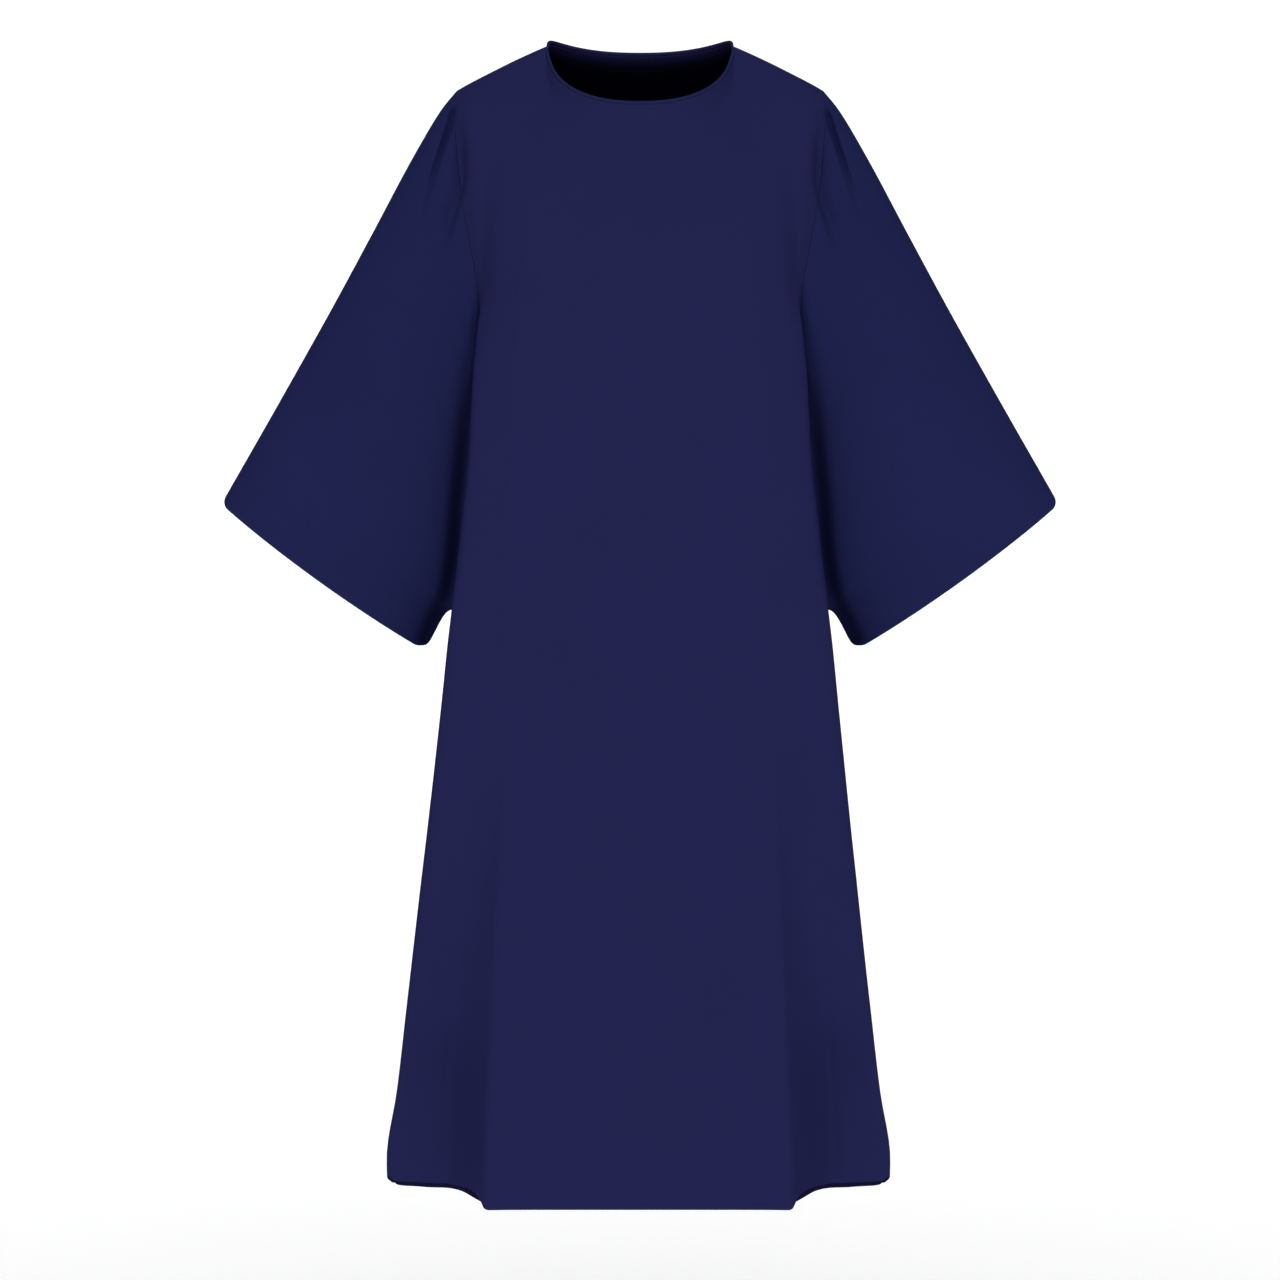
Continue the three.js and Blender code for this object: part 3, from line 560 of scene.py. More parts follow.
class Cloth:
    """The outsides of the four large pieces with their seams, in millimetres."""

    def __init__(self, sizes):
        self.cloth = sizes.cloth / MM
        self.gap = sizes.seam_gap / MM
        half = self.columns()
        self.column = np.concatenate([-half[:0:-1], half])
        arm = np.linspace(0, ARM_ROWS, sizes.arm_rows + 1)
        skirt = np.linspace(ARM_ROWS, ARM_ROWS + SKIRT_ROWS, sizes.skirt_rows + 1)[1:]
        near_hem = skirt[-1] - (skirt[-1] - skirt[-2]) * np.array(CROWDED["edge"])
        skirt = np.concatenate([skirt[:-1], near_hem, skirt[-1:]])
        self.arm_rows = arm
        self.row = np.concatenate([arm, skirt])
        self.body = {name: self.panel(name) for name in FACING}
        self.normal = {name: self.outward_normals(name) for name in FACING}
        self.join_panels()
        self.thick = {name: normal * self.cloth for name, normal in self.normal.items()}
        self.shift = {name: np.zeros_like(grid) for name, grid in self.body.items()}
        self.sleeve = {}
        for side in ("left", "right"):
            self.set_in(side, sizes.sleeve_rings)
        self.part_panels()
        self.keep_apart()

    @staticmethod
    def columns():
        """Columns of half a panel: even, and crowded at the side."""
        even = np.linspace(0, NEAR_SIDE_COLUMNS[0], EVEN_COLUMNS)
        return np.concatenate([even, NEAR_SIDE_COLUMNS[1:]])

    def panel(self, name):
        """A panel's outside with its creases pressed in towards the middle of the garment."""
        grid = body_surface(name, self.column, self.row)
        grid[..., 1] -= FACING[name] * crease_depth(grid, name)
        return grid

    def outward_normals(self, name):
        """A panel's normals, turned so that the one at its middle faces outwards."""
        normal = grid_normals(self.body[name], False)
        middle = normal[len(self.row) // 2, len(self.column) // 2, 1]
        return normal if middle * FACING[name] > 0 else -normal

    def join_panels(self):
        """The two panels share their normals along the shoulder seams and the side seams."""
        front, back = self.normal["front"], self.normal["back"]
        shoulder = np.abs(self.column) >= NECK_COLUMN
        side = self.row >= ARM_ROWS
        shared = unit(front[0] + back[0])
        front[0, shoulder] = back[0, shoulder] = shared[shoulder]
        for j in (0, -1):
            shared = unit(front[:, j] + back[:, j])
            front[side, j] = back[side, j] = shared[side]

    def armhole_ring(self, grids, column):
        """What two panels' grids hold round an armhole at a column: from the shoulder down the front to
        the underarm, and up again behind."""
        last = len(self.arm_rows) - 1
        back = grids["back"][last - 1 : 0 : -1, column]
        return np.concatenate([grids["front"][: last + 1, column], back])

    def sleeve_rings(self, armhole, mirror, rings):
        """A sleeve's outside as rings from the armhole to the cuff, with its creases pressed in. armhole
        is the ring of a +X sleeve, and mirror turns it to its own side."""
        step = 1 / rings
        near_seam = step * np.array(CROWDED["seam"])
        near_cuff = 1 - step * np.array(CROWDED["edge"])
        along = np.concatenate([[0], near_seam, np.linspace(step, 1 - step, rings - 1), near_cuff, [1]])
        grid = sleeve_surface(armhole, self.arm_rows, along)
        is_front = np.arange(len(armhole)) <= len(armhole) // 2
        free = ease(along / SLEEVE_SET)[:, None]
        seen = grid * mirror
        depth = np.where(is_front, crease_depth(seen, "front"), crease_depth(seen, "back"))
        pressed = mix(depth, within_half_depth(depth, seen[..., 1]), free)
        # near the armhole the rings already carry the creases of its own points
        facing = np.where(is_front, FACING["front"], FACING["back"])
        grid[..., 1] -= facing * (pressed - depth[0] * (1 - free))
        grid[0] = armhole
        return grid * mirror

    def set_in(self, side, rings):
        """One sleeve, set into its armhole. On both sides of the seam the cloth keeps half a gap and
        ends in the mitre between the two walls."""
        sign, j, inner = (1, -1, -2) if side == "left" else (-1, 0, 1)
        mirror = np.array([sign, 1, 1])
        last = len(self.arm_rows) - 1
        point = self.armhole_ring(self.body, j)
        count = len(point)
        grid = self.sleeve_rings(point * mirror, mirror, rings)
        normal = grid_normals(grid, True)
        if normal[len(grid) // 2, count // 4, 1] > 0:
            # the middle of the front half has to face -Y
            normal = -normal
        thick = normal * self.cloth
        run = np.roll(point, -1, axis=0) - np.roll(point, 1, axis=0)
        body_normal = self.armhole_ring(self.normal, j)
        shared = unit(body_normal + normal[0])
        to_body = self.armhole_ring(self.body, inner) - point
        to_body[last] = self.body["front"][last + 1, j] - point[last]
        to_sleeve = grid[1] - point
        step = side_step(run, shared, to_body, self.gap)
        body_thick = seam_thickness(body_normal, shared, to_sleeve, self.cloth)
        thick[0] = seam_thickness(normal[0], shared, to_body, self.cloth)
        grid[0] = point - step
        back_ring = np.concatenate([[0], np.arange(count - 1, last, -1), [last]])
        for name, ring in (("front", np.arange(last + 1)), ("back", back_ring)):
            self.shift[name][: last + 1, j] += step[ring]
            self.thick[name][: last + 1, j] = body_thick[ring]
        self.sleeve[side] = {"outer": grid, "thick": thick}

    def part_panels(self):
        """Half a gap off the shoulder seams and off the side seams."""
        front, normal = self.body["front"], self.normal["front"]
        shoulder = np.abs(self.column) >= NECK_COLUMN
        side = self.row >= ARM_ROWS
        run = np.gradient(front[0], axis=0)
        for name, facing in FACING.items():
            into = np.array([0.0, facing, 0.0])
            step = side_step(run, normal[0], into, self.gap)
            self.shift[name][0, shoulder] += step[shoulder]
            for j in (0, -1):
                down = np.gradient(front[:, j], axis=0)
                step = side_step(down, normal[:, j], into, self.gap)
                self.shift[name][side, j] += step[side]
                slant = unit(step) * self.cloth * SEAM_SLANT * -facing
                self.thick[name][side, j] += slant[side]

    def keep_apart(self):
        """Above the underarm the inside of each panel stays on its own side of the seams' plane."""
        above = slice(0, len(self.arm_rows) - 1)
        for name, facing in FACING.items():
            outer_y = self.outer(name)[above, :, 1] * facing
            inner_y = np.maximum(outer_y - self.thick[name][above, :, 1] * facing, self.gap / 2)
            self.thick[name][above, :, 1] = (outer_y - inner_y) * facing

    def outer(self, name):
        """A panel's outside with its half gaps."""
        return self.body[name] + self.shift[name]


# --- Meshes ---
def along_grid(grid, axis):
    """Distance in metres along each line of a grid, for the cloth's own threads."""
    step = np.linalg.norm(np.diff(grid, axis=axis), axis=-1)
    total = np.cumsum(step, axis=axis)
    pad = [(0, 0), (0, 0)]
    pad[axis] = (1, 0)
    return np.pad(total, pad) * MM


def grid_faces(rows, count, rows_wrap=False, wraps=False):
    """Quads of a grid of points in rows of count, which can come back to its start either way."""
    i, j = np.meshgrid(np.arange(rows - 1 + rows_wrap), np.arange(count - 1 + wraps), indexing="ij")
    i, j = i.ravel(), j.ravel()
    m, k = (i + 1) % rows, (j + 1) % count
    return np.stack([i * count + j, i * count + k, m * count + k, m * count + j], 1)


def shell_faces(rows, count, wraps):
    """Quads of a closed wall whose outer grid's points come first and inner grid's after them."""
    inn = rows * count
    outside = grid_faces(rows, count, wraps=wraps)
    faces = [outside, outside[:, [0, 3, 2, 1]] + inn]
    j = np.arange(count - 1 + wraps)
    k = (j + 1) % count
    end = (rows - 1) * count
    faces.append(np.stack([inn + j, inn + k, k, j], 1))
    faces.append(np.stack([end + j, end + k, inn + end + k, inn + end + j], 1))
    if not wraps:
        i = np.arange(rows - 1) * count
        e = i + count - 1
        faces.append(np.stack([i + inn, i, i + count, i + count + inn], 1))
        faces.append(np.stack([e, e + inn, e + inn + count, e + count], 1))
    return np.concatenate(faces)


def linked(name, data):
    """An object of some data, at the origin of the scene."""
    built = bpy.data.objects.new(name, data)
    bpy.context.scene.collection.objects.link(built)
    return built


def mesh_object(name, points, faces, uv=None, wrong_side=None):
    """A smooth mesh object at the origin from points in millimetres, facing outwards. uv is one (u, v)
    in metres for each point, and wrong_side is how far painted shade darkens each point: none
    on the outside, up to 1 on the cloth's inside."""
    points = points * MM
    p = points[faces]
    half = np.einsum("ij,ij->i", p[:, 0], np.cross(p[:, 1], p[:, 2]))
    other = np.einsum("ij,ij->i", p[:, 0], np.cross(p[:, 2], p[:, 3]))
    if (half + other).sum() < 0:
        faces = faces[:, ::-1]
    mesh = bpy.data.meshes.new(name)
    mesh.vertices.add(len(points))
    mesh.vertices.foreach_set("co", points.astype(np.float32).ravel())
    mesh.loops.add(faces.size)
    mesh.loops.foreach_set("vertex_index", faces.astype(np.int32).ravel())
    mesh.polygons.add(len(faces))
    mesh.polygons.foreach_set("loop_start", np.arange(0, faces.size, 4, dtype=np.int32))
    mesh.polygons.foreach_set("use_smooth", np.ones(len(faces), bool))
    if uv is not None:
        layer = mesh.uv_layers.new(name="threads")
        layer.data.foreach_set("uv", uv[faces.ravel()].astype(np.float32).ravel())
    # painted shade: how far each point is darkened, kept as an attribute for the material
    if wrong_side is not None:
        side = mesh.attributes.new("wrong_side", "FLOAT", "POINT")
        side.data.foreach_set("value", wrong_side.astype(np.float32))
    mesh.update()
    mesh.validate()
    return linked(name, mesh)


def cloth_piece(name, outer, thick, wraps):
    """A piece of cloth as a closed shell. Its threads run down the piece and across it. Its inside is
    darkened by painted shade. Painted light turns that inside back towards the right side's colour
    near a panel's top edge and near the hem or the cuff."""
    rows, count = outer.shape[:2]
    inner = outer - thick
    v = along_grid(outer, 0)
    down = v / MM
    # painted shade inside the cloth, lifted by painted light near the hem or cuff and near a panel's top
    # edge
    inside = 1 - PAINTED_LIGHT_NEAR_EDGES["low"] * bump_over(down[-1] - down, PAINTED_LIGHT_NEAR_EDGES["low_width"])
    if not wraps:
        inside -= PAINTED_LIGHT_NEAR_EDGES["top"] * bump_over(down, PAINTED_LIGHT_NEAR_EDGES["top_width"])
    u = along_grid(outer, 1)
    if wraps:
        u = np.where(np.arange(count) <= count // 2, u, u - u[:, -1:])
    else:
        u = u - u[:, count // 2, None]
    uv = np.stack([u, v], axis=-1).reshape(-1, 2)
    points = np.concatenate([outer.reshape(-1, 3), inner.reshape(-1, 3)])
    wrong_side = np.concatenate([np.zeros(rows * count), inside.ravel()])
    faces = shell_faces(rows, count, wraps)
    return mesh_object(name, points, faces, np.concatenate([uv, uv]), wrong_side)


def tube(name, rings, uv=None):
    """A closed tube from rings (ring, station, axis) that come back to their start both ways."""
    faces = grid_faces(*rings.shape[:2], rows_wrap=True, wraps=True)
    return mesh_object(name, rings.reshape(-1, 3), faces, uv)


def neck_loop(cloth):
    """The neck edge as a closed line: its points, their normals and their distances along it."""
    keep = np.abs(cloth.column) <= NECK_COLUMN

    def round_neck(grids):
        # along the front's edge, and back to its start along the back's
        front = grids["front"][0, keep]
        back = grids["back"][0, keep][::-1]
        return np.concatenate([front, back[1:-1], front[:1]])

    loop = round_neck(cloth.body)
    length = np.concatenate([[0], np.cumsum(np.linalg.norm(np.diff(loop, axis=0), axis=1))])
    return loop, round_neck(cloth.normal), length


def neck_stations(cloth, count):
    """Even stations round the neck edge with their outward normal, the way up off the edge and the way
    along it."""
    loop, normal, length = neck_loop(cloth)
    at = np.linspace(0, length[-1], count, endpoint=False)
    point = np.stack([np.interp(at, length, loop[:, k]) for k in range(3)], axis=1)
    normal = np.stack([np.interp(at, length, normal[:, k]) for k in range(3)], axis=1)
    for _ in range(NORMAL_SMOOTHINGS):
        normal = np.roll(normal, 1, axis=0) + 2 * normal + np.roll(normal, -1, axis=0)
        normal = unit(normal)
    run = np.roll(point, -1, axis=0) - np.roll(point, 1, axis=0)
    up = unit(np.cross(normal, run))
    up *= np.sign((up * [0, 0, 1]).sum(-1, keepdims=True))
    return point, normal, up, unit(run)


def stitch_mesh(name, places, runs, normals, length, width, height):
    """Many small stitches in one mesh. Each is a bar along its run that thins to both ends: its section
    is a ring whose radius is a half sine of the way along it."""
    way = np.linspace(0.0, 1.0, STITCH_SEGMENTS + 1)
    girth = np.maximum(np.sin(np.pi * way), STITCH_END_GIRTH)[None, :, None, None]
    angle = np.linspace(0, 2 * np.pi, STITCH_SEGMENTS, endpoint=False)
    side = np.cross(normals, runs)
    x = (way - 0.5)[None, :, None, None] * length * runs[:, None, None, :]
    y = girth * np.cos(angle)[None, None, :, None] * width / 2 * side[:, None, None, :]
    z = girth * np.sin(angle)[None, None, :, None] * height / 2 * normals[:, None, None, :]
    points = places[:, None, None, :] + x + y + z
    rings, around = len(way), len(angle)
    starts = (np.arange(len(places)) * rings * around)[:, None, None]
    faces = (grid_faces(rings, around, wraps=True)[None] + starts).reshape(-1, 4)
    # an end ring of six points is closed by two faces
    cap = np.array([[0, 1, 2, 3], [0, 3, 4, 5]])
    ends = np.concatenate([cap, (cap + (rings - 1) * around)[:, ::-1]])
    faces = np.concatenate([faces, (ends[None] + starts).reshape(-1, 4)])
    return mesh_object(name, points.reshape(-1, 3), faces)


# --- Materials ---
# Waves per metre and octaves of the two noises, and how much the roughness and the relief follow them.
WEAVE = {
    "cloud_scale": 7.0,
    "cloud_detail": 3.0,
    "yarn_scale": 900.0,
    "yarn_detail": 2.0,
    "roughness_swing": 0.08,
    "crossing_height": 0.5,
}


def group_node(tree, kind, place, **settings):
    """A node in a tree at a place, with its settings."""
    node = tree.nodes.new(kind)
    node.location = place
    for key, value in settings.items():
        setattr(node, key, value)
    return node


def set_inputs(node, values):
    """Gives a node's inputs their values, by name."""
    for name, value in values.items():
        node.inputs[name].default_value = value


def math_node(tree, operation, place, *values):
    """A math node's output. Each value is a number or the socket that feeds it."""
    node = group_node(tree, "ShaderNodeMath", place, operation=operation)
    for socket, value in zip(node.inputs, values):
        if isinstance(value, bpy.types.NodeSocket):
            tree.links.new(value, socket)
        else:
            socket.default_value = value
    return node.outputs[0]


def noise_node(tree, place, scale, detail, where):
    """The value of a noise of a scale at the object's own coordinates."""
    node = group_node(tree, "ShaderNodeTexNoise", place)
    set_inputs(node, {"Scale": scale, "Detail": detail})
    tree.links.new(where, node.inputs["Vector"])
    return node.outputs["Fac"]


def weave_group():
    """Node group of a plain weave: two sets of threads that cross, with a little unevenness in the
    yarn and a faint cloudiness in the dye."""
    name = "plain_weave"
    if name in bpy.data.node_groups:
        return bpy.data.node_groups[name]
    tree = bpy.data.node_groups.new(name, "ShaderNodeTree")
    sockets = {
        "INPUT": {"Colour": "Color", "Wrong side": "Color", "Threads per metre": "Float",
                  "Cloudiness": "Float", "Roughness": "Float"},
        "OUTPUT": {"Colour": "Color", "Roughness": "Float", "Height": "Float"},
    }
    for way, kinds in sockets.items():
        for label, kind in kinds.items():
            tree.interface.new_socket(label, in_out=way, socket_type="NodeSocket" + kind)
    given = group_node(tree, "NodeGroupInput", (-1200, 0)).outputs
    made = group_node(tree, "NodeGroupOutput", (900, 0)).inputs
    link = tree.links.new

    threads = group_node(tree, "ShaderNodeUVMap", (-1200, -300), uv_map="threads")
    scaled = group_node(tree, "ShaderNodeVectorMath", (-1000, -300), operation="SCALE")
    link(threads.outputs["UV"], scaled.inputs[0])
    link(given["Threads per metre"], scaled.inputs["Scale"])
    apart = group_node(tree, "ShaderNodeSeparateXYZ", (-800, -300))
    link(scaled.outputs["Vector"], apart.inputs[0])
    waves = []
    for axis, drop in (("X", -200), ("Y", -420)):
        turn = math_node(tree, "MULTIPLY", (-620, drop), apart.outputs[axis], math.pi)
        waves.append(math_node(tree, "SINE", (-440, drop), turn))
    crossed = math_node(tree, "MULTIPLY", (-240, -300), *waves)

    where = group_node(tree, "ShaderNodeTexCoord", (-1200, 400)).outputs["Object"]
    cloud = noise_node(tree, (-900, 420), WEAVE["cloud_scale"], WEAVE["cloud_detail"], where)
    yarn = noise_node(tree, (-900, 140), WEAVE["yarn_scale"], WEAVE["yarn_detail"], where)
    both = math_node(tree, "ADD", (-640, 300), cloud, yarn)
    centred = math_node(tree, "SUBTRACT", (-460, 300), both, 1.0)
    amount = math_node(tree, "MULTIPLY_ADD", (-280, 300), centred, given["Cloudiness"], 1.0)
    # painted shade: the inside mixes over to a dimmed copy of the cloth's colour
    inside = group_node(tree, "ShaderNodeAttribute", (-640, 620), attribute_name="wrong_side")
    sides = group_node(tree, "ShaderNodeMix", (-280, 560), data_type="RGBA")
    link(inside.outputs["Fac"], sides.inputs["Factor"])
    link(given["Colour"], sides.inputs["A"])
    link(given["Wrong side"], sides.inputs["B"])
    tinted = group_node(tree, "ShaderNodeVectorMath", (0, 300), operation="SCALE")
    link(sides.outputs["Result"], tinted.inputs[0])
    link(amount, tinted.inputs["Scale"])
    link(tinted.outputs["Vector"], made["Colour"])

    swing = WEAVE["roughness_swing"]
    rough = math_node(tree, "MULTIPLY_ADD", (0, 60), centred, swing, given["Roughness"])
    link(rough, made["Roughness"])
    height = math_node(tree, "MULTIPLY_ADD", (0, -240), crossed, WEAVE["crossing_height"], yarn)
    link(height, made["Height"])
    return tree


def cloth_material(name, colour, look):
    """Matte woven cloth."""
    material = bpy.data.materials.new(name)
    material.use_nodes = True
    material.diffuse_color = (*colour, 1)
    tree = material.node_tree
    shader = tree.nodes["Principled BSDF"]
    weave = group_node(tree, "ShaderNodeGroup", (-500, 0), node_tree=weave_group())
    set_inputs(weave, {
        "Colour": (*colour, 1),
        # painted shade: the inside's colour is the cloth's colour dimmed
        "Wrong side": (*(channel * look.wrong_side for channel in colour), 1),
        "Threads per metre": look.threads_per_metre,
        "Cloudiness": look.cloudiness,
        "Roughness": look.roughness,
    })
    bump = group_node(tree, "ShaderNodeBump", (-250, -250))
    set_inputs(bump, {"Strength": look.weave_strength, "Distance": look.weave_height})
    link = tree.links.new
    link(weave.outputs["Colour"], shader.inputs["Base Color"])
    link(weave.outputs["Roughness"], shader.inputs["Roughness"])
    link(weave.outputs["Height"], bump.inputs["Height"])
    link(bump.outputs["Normal"], shader.inputs["Normal"])
    set_inputs(shader, {"Specular IOR Level": look.shine})
    return material


def dress(piece, nodes, colour):
    """Gives a piece its material and puts it on the garment."""
    piece.data.materials.append(cloth_material(piece.name, colour, bpy.context.scene.dalmatic_look))
    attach(piece, "root")
    if nodes:
        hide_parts(*nodes)
    return piece


# --- Settings ---
def length_property(name, description, default):
    """A length in metres for a settings group."""
    return bpy.props.FloatProperty(
        name=name, description=description, default=default, min=0.0, unit="LENGTH", precision=5
    )


def count_property(name, description, default):
    """A number of rows or rings for a settings group."""
    return bpy.props.IntProperty(name=name, description=description, default=default, min=8)


def colour_property(name, description, default):
    """A linear colour for a settings group."""
    return bpy.props.FloatVectorProperty(
        name=name, description=description, default=default, min=0.0, max=1.0, size=3, subtype="COLOR"
    )


def factor_property(name, description, default):
    """A share from 0 to 1 for a settings group."""
    return bpy.props.FloatProperty(
        name=name, description=description, default=default, min=0.0, max=1.0, subtype="FACTOR"
    )


def amount_property(name, description, default):
    """A strength without a unit for a settings group."""
    return bpy.props.FloatProperty(name=name, description=description, default=default, min=0.0)


def angle_property(name, description, degrees):
    """An angle for a settings group."""
    return bpy.props.FloatProperty(
        name=name, description=description, default=math.radians(degrees), subtype="ANGLE"
    )


class DalmaticSizes(bpy.types.PropertyGroup):
    """Sizes of the cloth and its sewing."""

    cloth: length_property("Cloth", "Thickness of the cloth", 0.0014)
    seam_gap: length_property("Seam gap", "Clearance between two pieces sewn together", 0.0004)
    arm_rows: count_property("Arm rows", "Rows of points down the armhole", 126)
    skirt_rows: count_property("Skirt rows", "Rows of points from underarm to hem", 88)
    sleeve_rings: count_property("Sleeve rings", "Rings of points along a sleeve", 126)
    binding_width: length_property("Binding width", "Height of the rolled strip at the neck", 0.0042)
    binding_depth: length_property("Binding depth", "Thickness of the rolled strip", 0.0032)
    stitch_length: length_property("Stitch length", "Length of one stitch", 0.0026)
    stitch_pitch: length_property("Stitch pitch", "Distance from stitch to stitch", 0.0034)
    stitch_width: length_property("Stitch width", "Width of the thread", 0.0006)
    stitch_below: length_property("Stitch depth", "Distance of the stitching below the neck edge", 0.0022)


class DalmaticLook(bpy.types.PropertyGroup):
    """Colours and finish of the cloth, and the painted shade of its inside."""

    cloth_colour: colour_property("Cloth", "Colour of the body", (0.0157, 0.0171, 0.0735))
    sleeve_colour: colour_property("Sleeves", "Colour of the sleeves", (0.0136, 0.0167, 0.0715))
    binding_colour: colour_property("Binding", "Colour of the neck binding", (0.0150, 0.0175, 0.070))
    thread_colour: colour_property("Thread", "Colour of the stitching", (0.030, 0.034, 0.105))
    # painted shade: the share of the cloth's colour that its shaded inside keeps
    wrong_side: factor_property("Wrong side", "Brightness of the cloth's inside", 0.03)
    shine: factor_property("Shine", "Strength of the reflection", 0.0)
    roughness: factor_property("Roughness", "Roughness of the reflection", 0.8)
    cloudiness: factor_property("Cloudiness", "Unevenness of the dye", 0.10)
    weave_strength: factor_property("Weave strength", "Strength of the weave's relief", 0.3)
    weave_height: length_property("Weave height", "Height of the weave's relief", 0.00012)
    threads_per_metre: bpy.props.FloatProperty(
        name="Threads", description="Threads per metre in each direction", default=1300.0, min=1.0
    )


class DalmaticStudio(bpy.types.PropertyGroup):
    """The studio: its room, lights and camera."""

    camera_distance: length_property("Camera distance", "From the camera to the shoulders' plane", 3.0)
    camera_height: bpy.props.FloatProperty(
        name="Camera height", description="Height above the shoulders", default=-0.648, unit="LENGTH"
    )
    view_width: length_property("View width", "Width seen at the shoulders' plane", 1.4592)
    floor_drop: length_property("Floor", "Depth of the floor below the lowest hem", 0.25)
    room_colour: colour_property("Room", "Colour of the floor and backdrop", (0.84, 0.84, 0.845))
    key_strength: amount_property("Key light", "Strength of the light in front", 2.22)
    key_elevation: angle_property("Key height", "How high the lights stand", 35.0)
    key_spread: angle_property("Key spread", "How wide the lights look from the garment", 95.0)
    back_strength: amount_property("Back light", "Strength of the light behind", 0.8)
    room_glow: amount_property("Room glow", "Evenness of the backdrop", 0.28)
    sky: amount_property("Sky", "Even light from all round", 0.18)


# The studio's room, in metres: its floor before and behind the garment and its backdrop's turn.
ROOM = {"before": 6.0, "behind": 2.2, "radius": 1.6, "steps": 40, "height": 6.5, "half_width": 7.0}
SENSOR_WIDTH = 36.0


# --- Operators ---
class DALMATIC_OT_body(bpy.types.Operator):
    """Builds the front and the back"""

    bl_idname = "dalmatic.body"
    bl_label = "Front and back"

    def execute(self, context):
        """Two closed shells on the panels' form."""
        cloth = Cloth(context.scene.dalmatic_sizes)
        look = context.scene.dalmatic_look
        flats = {"front": (0.83, 1.32, 0.79), "back": (0.73, 1.38, 0.75)}
        for name, (width, length, area) in flats.items():
            piece = cloth_piece(name + "_cloth", cloth.outer(name), cloth.thick[name], False)
            dress(piece, [name], look.cloth_colour)
        return {"FINISHED"}


class DALMATIC_OT_sleeves(bpy.types.Operator):
    """Builds both sleeves"""

    bl_idname = "dalmatic.sleeves"
    bl_label = "Sleeves"

    def execute(self, context):
        """Each sleeve is a closed shell round the arm."""
        cloth = Cloth(context.scene.dalmatic_sizes)
        look = context.scene.dalmatic_look
        for side in ("left", "right"):
            sleeve = cloth.sleeve[side]
            piece = cloth_piece("sleeve_" + side + "_cloth", sleeve["outer"], sleeve["thick"], True)
            dress(piece, ["sleeve_" + side], look.sleeve_colour)
        return {"FINISHED"}


class DALMATIC_OT_binding(bpy.types.Operator):
    """Builds the neck binding and its stitching"""

    bl_idname = "dalmatic.binding"
    bl_label = "Neck binding"

    def execute(self, context):
        """Both follow the neck edge."""
        sizes = context.scene.dalmatic_sizes
        look = context.scene.dalmatic_look
        cloth = Cloth(sizes)
        dress(self.strip(cloth, sizes), ["neck_binding"], look.binding_colour)
        dress(self.stitching(cloth, sizes), [], look.thread_colour)
        return {"FINISHED"}

    def strip(self, cloth, sizes):
        """A tube that stands on the neck edge. Its section is an oval with powers of the sine for its
        depth, and it gets thinner at the neck points."""
        point, normal, up, _ = neck_stations(cloth, BINDING_STATIONS)
        half_width = sizes.binding_width / MM / 2
        half_depth = sizes.binding_depth / MM / 2
        angle = np.linspace(0, 2 * np.pi, BINDING_SIDES, endpoint=False)[:, None, None]
        thinned = BINDING["thinned"] * bump_over(point[:, 1:2] - BINDING["thin_y"], BINDING["thin_reach"])
        thinned *= np.abs(point[:, :1]) > BINDING["thin_beyond"]
        height = half_width * (1 + np.cos(angle)) * (1 - thinned) - BINDING["overlap"]
        round_off = np.sign(np.sin(angle)) * np.abs(np.sin(angle)) ** BINDING_SQUARENESS
        rings = point + up * height + normal * (half_depth * round_off - cloth.cloth / 2)
        length = neck_loop(cloth)[2][-1]
        station = np.linspace(0, length * MM, BINDING_STATIONS, endpoint=False)
        around = np.linspace(0, 2 * (half_width + half_depth) * MM, BINDING_SIDES, endpoint=False)
        uv = np.stack(np.meshgrid(station, around), axis=-1).reshape(-1, 2)
        return tube("neck_binding_cloth", rings, uv)

    def stitching(self, cloth, sizes):
        """A row of stitches at an even pitch below the strip, which shows on both sides of the cloth."""
        count = int(neck_loop(cloth)[2][-1] / (sizes.stitch_pitch / MM))
        point, normal, up, run = neck_stations(cloth, count)
        line = point - up * sizes.stitch_below / MM
        inside = line - normal * (cloth.cloth + STITCH_PROUD)
        places = np.concatenate([line + normal * STITCH_PROUD, inside])
        run = np.concatenate([run, run])
        normal = np.concatenate([normal, normal])
        width = sizes.stitch_width / MM
        size = (sizes.stitch_length / MM, width, width)
        return stitch_mesh("neck_stitches", places, run, normal, *size)


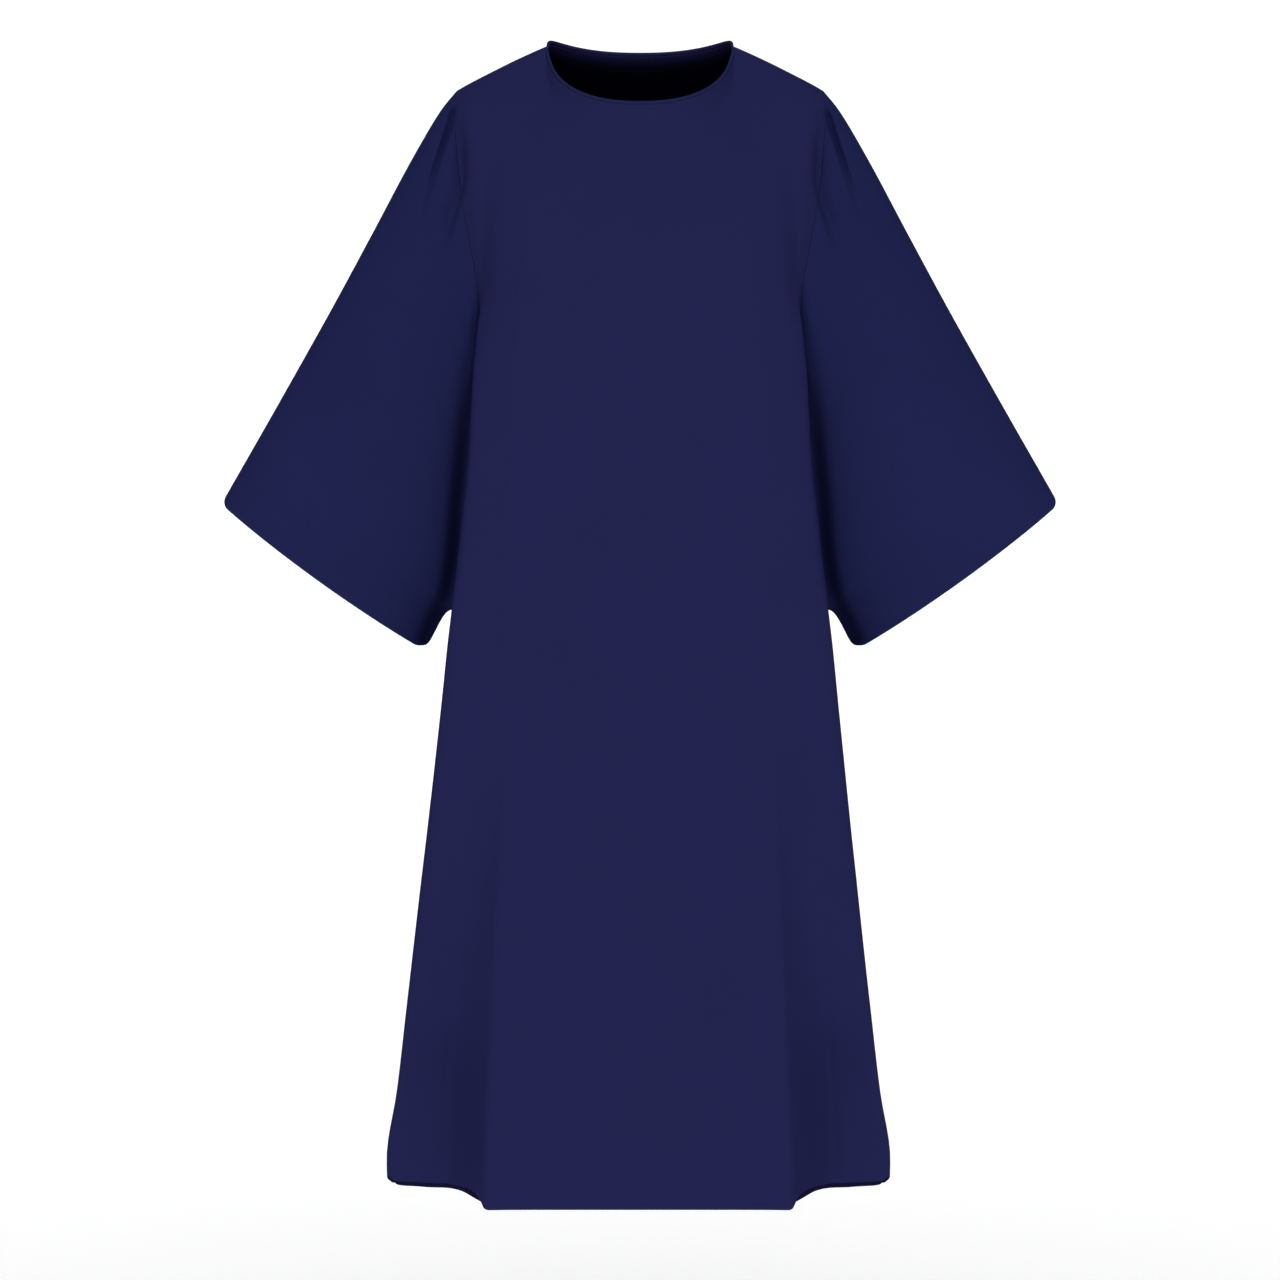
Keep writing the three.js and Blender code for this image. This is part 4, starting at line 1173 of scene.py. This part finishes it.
class DALMATIC_OT_stage(bpy.types.Operator):
    """Builds the studio"""

    bl_idname = "dalmatic.stage"
    bl_label = "Studio"

    def execute(self, context):
        """A pale floor that sweeps up into a backdrop, soft lights and the camera."""
        studio = context.scene.dalmatic_studio
        lowest = CAD_BOUNDS[0].z - studio.floor_drop
        self.room(studio, lowest)
        self.sun("key_light", 0.0, studio.key_elevation, studio.key_spread, studio.key_strength)
        self.sun("back_light", math.pi, studio.key_elevation, studio.key_spread, studio.back_strength)
        world = bpy.data.worlds.new("studio_air")
        world.use_nodes = True
        air = world.node_tree.nodes["Background"]
        set_inputs(air, {"Color": (1, 1, 1, 1), "Strength": studio.sky})
        context.scene.world = world
        context.scene.view_settings.view_transform = "Standard"
        context.scene.view_settings.look = "None"
        self.camera(studio)
        return {"FINISHED"}

    def room(self, studio, lowest):
        """A strip whose profile runs along the floor, turns up in a quarter circle and climbs."""
        angle = np.linspace(0, np.pi / 2, ROOM["steps"])
        sweep_y = ROOM["behind"] + ROOM["radius"] * np.sin(angle)
        sweep_z = lowest + ROOM["radius"] * (1 - np.cos(angle))
        y = np.concatenate([[-ROOM["before"], 0.0], sweep_y, sweep_y[-1:]])
        z = np.concatenate([[lowest, lowest], sweep_z, [lowest + ROOM["height"]]])
        x = np.array([-ROOM["half_width"], 0.0, ROOM["half_width"]])
        grid = np.stack(np.broadcast_arrays(x[None, :], y[:, None], z[:, None]), axis=-1) / MM
        floor = mesh_object("studio_room", grid.reshape(-1, 3), grid_faces(*grid.shape[:2]))
        material = bpy.data.materials.new("studio_room")
        material.use_nodes = True
        shader = material.node_tree.nodes["Principled BSDF"]
        set_inputs(shader, {
            "Base Color": (*studio.room_colour, 1),
            "Roughness": 1.0,
            "Specular IOR Level": 0.0,
            "Emission Color": (1, 1, 1, 1),
            "Emission Strength": studio.room_glow,
        })
        floor.data.materials.append(material)

    def sun(self, name, azimuth, elevation, spread, strength):
        """A wall of soft light far off: azimuth 0 stands in front, and spread is how wide it looks."""
        light = bpy.data.lights.new(name, "SUN")
        light.angle = spread
        light.energy = strength
        linked(name, light).rotation_euler = (math.pi / 2 - elevation, 0.0, azimuth)

    def camera(self, studio):
        """A level camera in front of the garment."""
        data = bpy.data.cameras.new("camera")
        data.sensor_width = SENSOR_WIDTH
        data.lens = data.sensor_width * studio.camera_distance / studio.view_width
        camera = linked("camera", data)
        camera.location = (0.0, -studio.camera_distance, studio.camera_height)
        camera.rotation_euler = (math.pi / 2, 0.0, 0.0)
        bpy.context.scene.camera = camera


class DALMATIC_PT_panel(bpy.types.Panel):
    """Sidebar panel with the garment's settings and a button for each group of pieces"""

    bl_label = "Dalmatic"
    bl_idname = "DALMATIC_PT_panel"
    bl_space_type = "VIEW_3D"
    bl_region_type = "UI"
    bl_category = "Dalmatic"

    def draw(self, context):
        """Settings first, then the buttons."""
        layout = self.layout
        for group in ("dalmatic_sizes", "dalmatic_look", "dalmatic_studio"):
            box = layout.box()
            settings = getattr(context.scene, group)
            for name in type(settings).__annotations__:
                box.prop(settings, name)
        for operator in OPERATORS:
            layout.operator(operator.bl_idname)


OPERATORS = (DALMATIC_OT_body, DALMATIC_OT_sleeves, DALMATIC_OT_binding, DALMATIC_OT_stage)
CLASSES = (DalmaticSizes, DalmaticLook, DalmaticStudio, *OPERATORS, DALMATIC_PT_panel)


def register():
    """Adds the settings, the operators and the panel."""
    for cls in CLASSES:
        bpy.utils.register_class(cls)
    bpy.types.Scene.dalmatic_sizes = bpy.props.PointerProperty(type=DalmaticSizes)
    bpy.types.Scene.dalmatic_look = bpy.props.PointerProperty(type=DalmaticLook)
    bpy.types.Scene.dalmatic_studio = bpy.props.PointerProperty(type=DalmaticStudio)


def unregister():
    """Takes them away again."""
    del bpy.types.Scene.dalmatic_studio
    del bpy.types.Scene.dalmatic_look
    del bpy.types.Scene.dalmatic_sizes
    for cls in reversed(CLASSES):
        bpy.utils.unregister_class(cls)


def main():
    """Builds the garment and its studio."""
    register()
    bpy.ops.dalmatic.body()
    bpy.ops.dalmatic.sleeves()
    bpy.ops.dalmatic.binding()
    bpy.ops.dalmatic.stage()


if __name__ == "__main__":
    main()
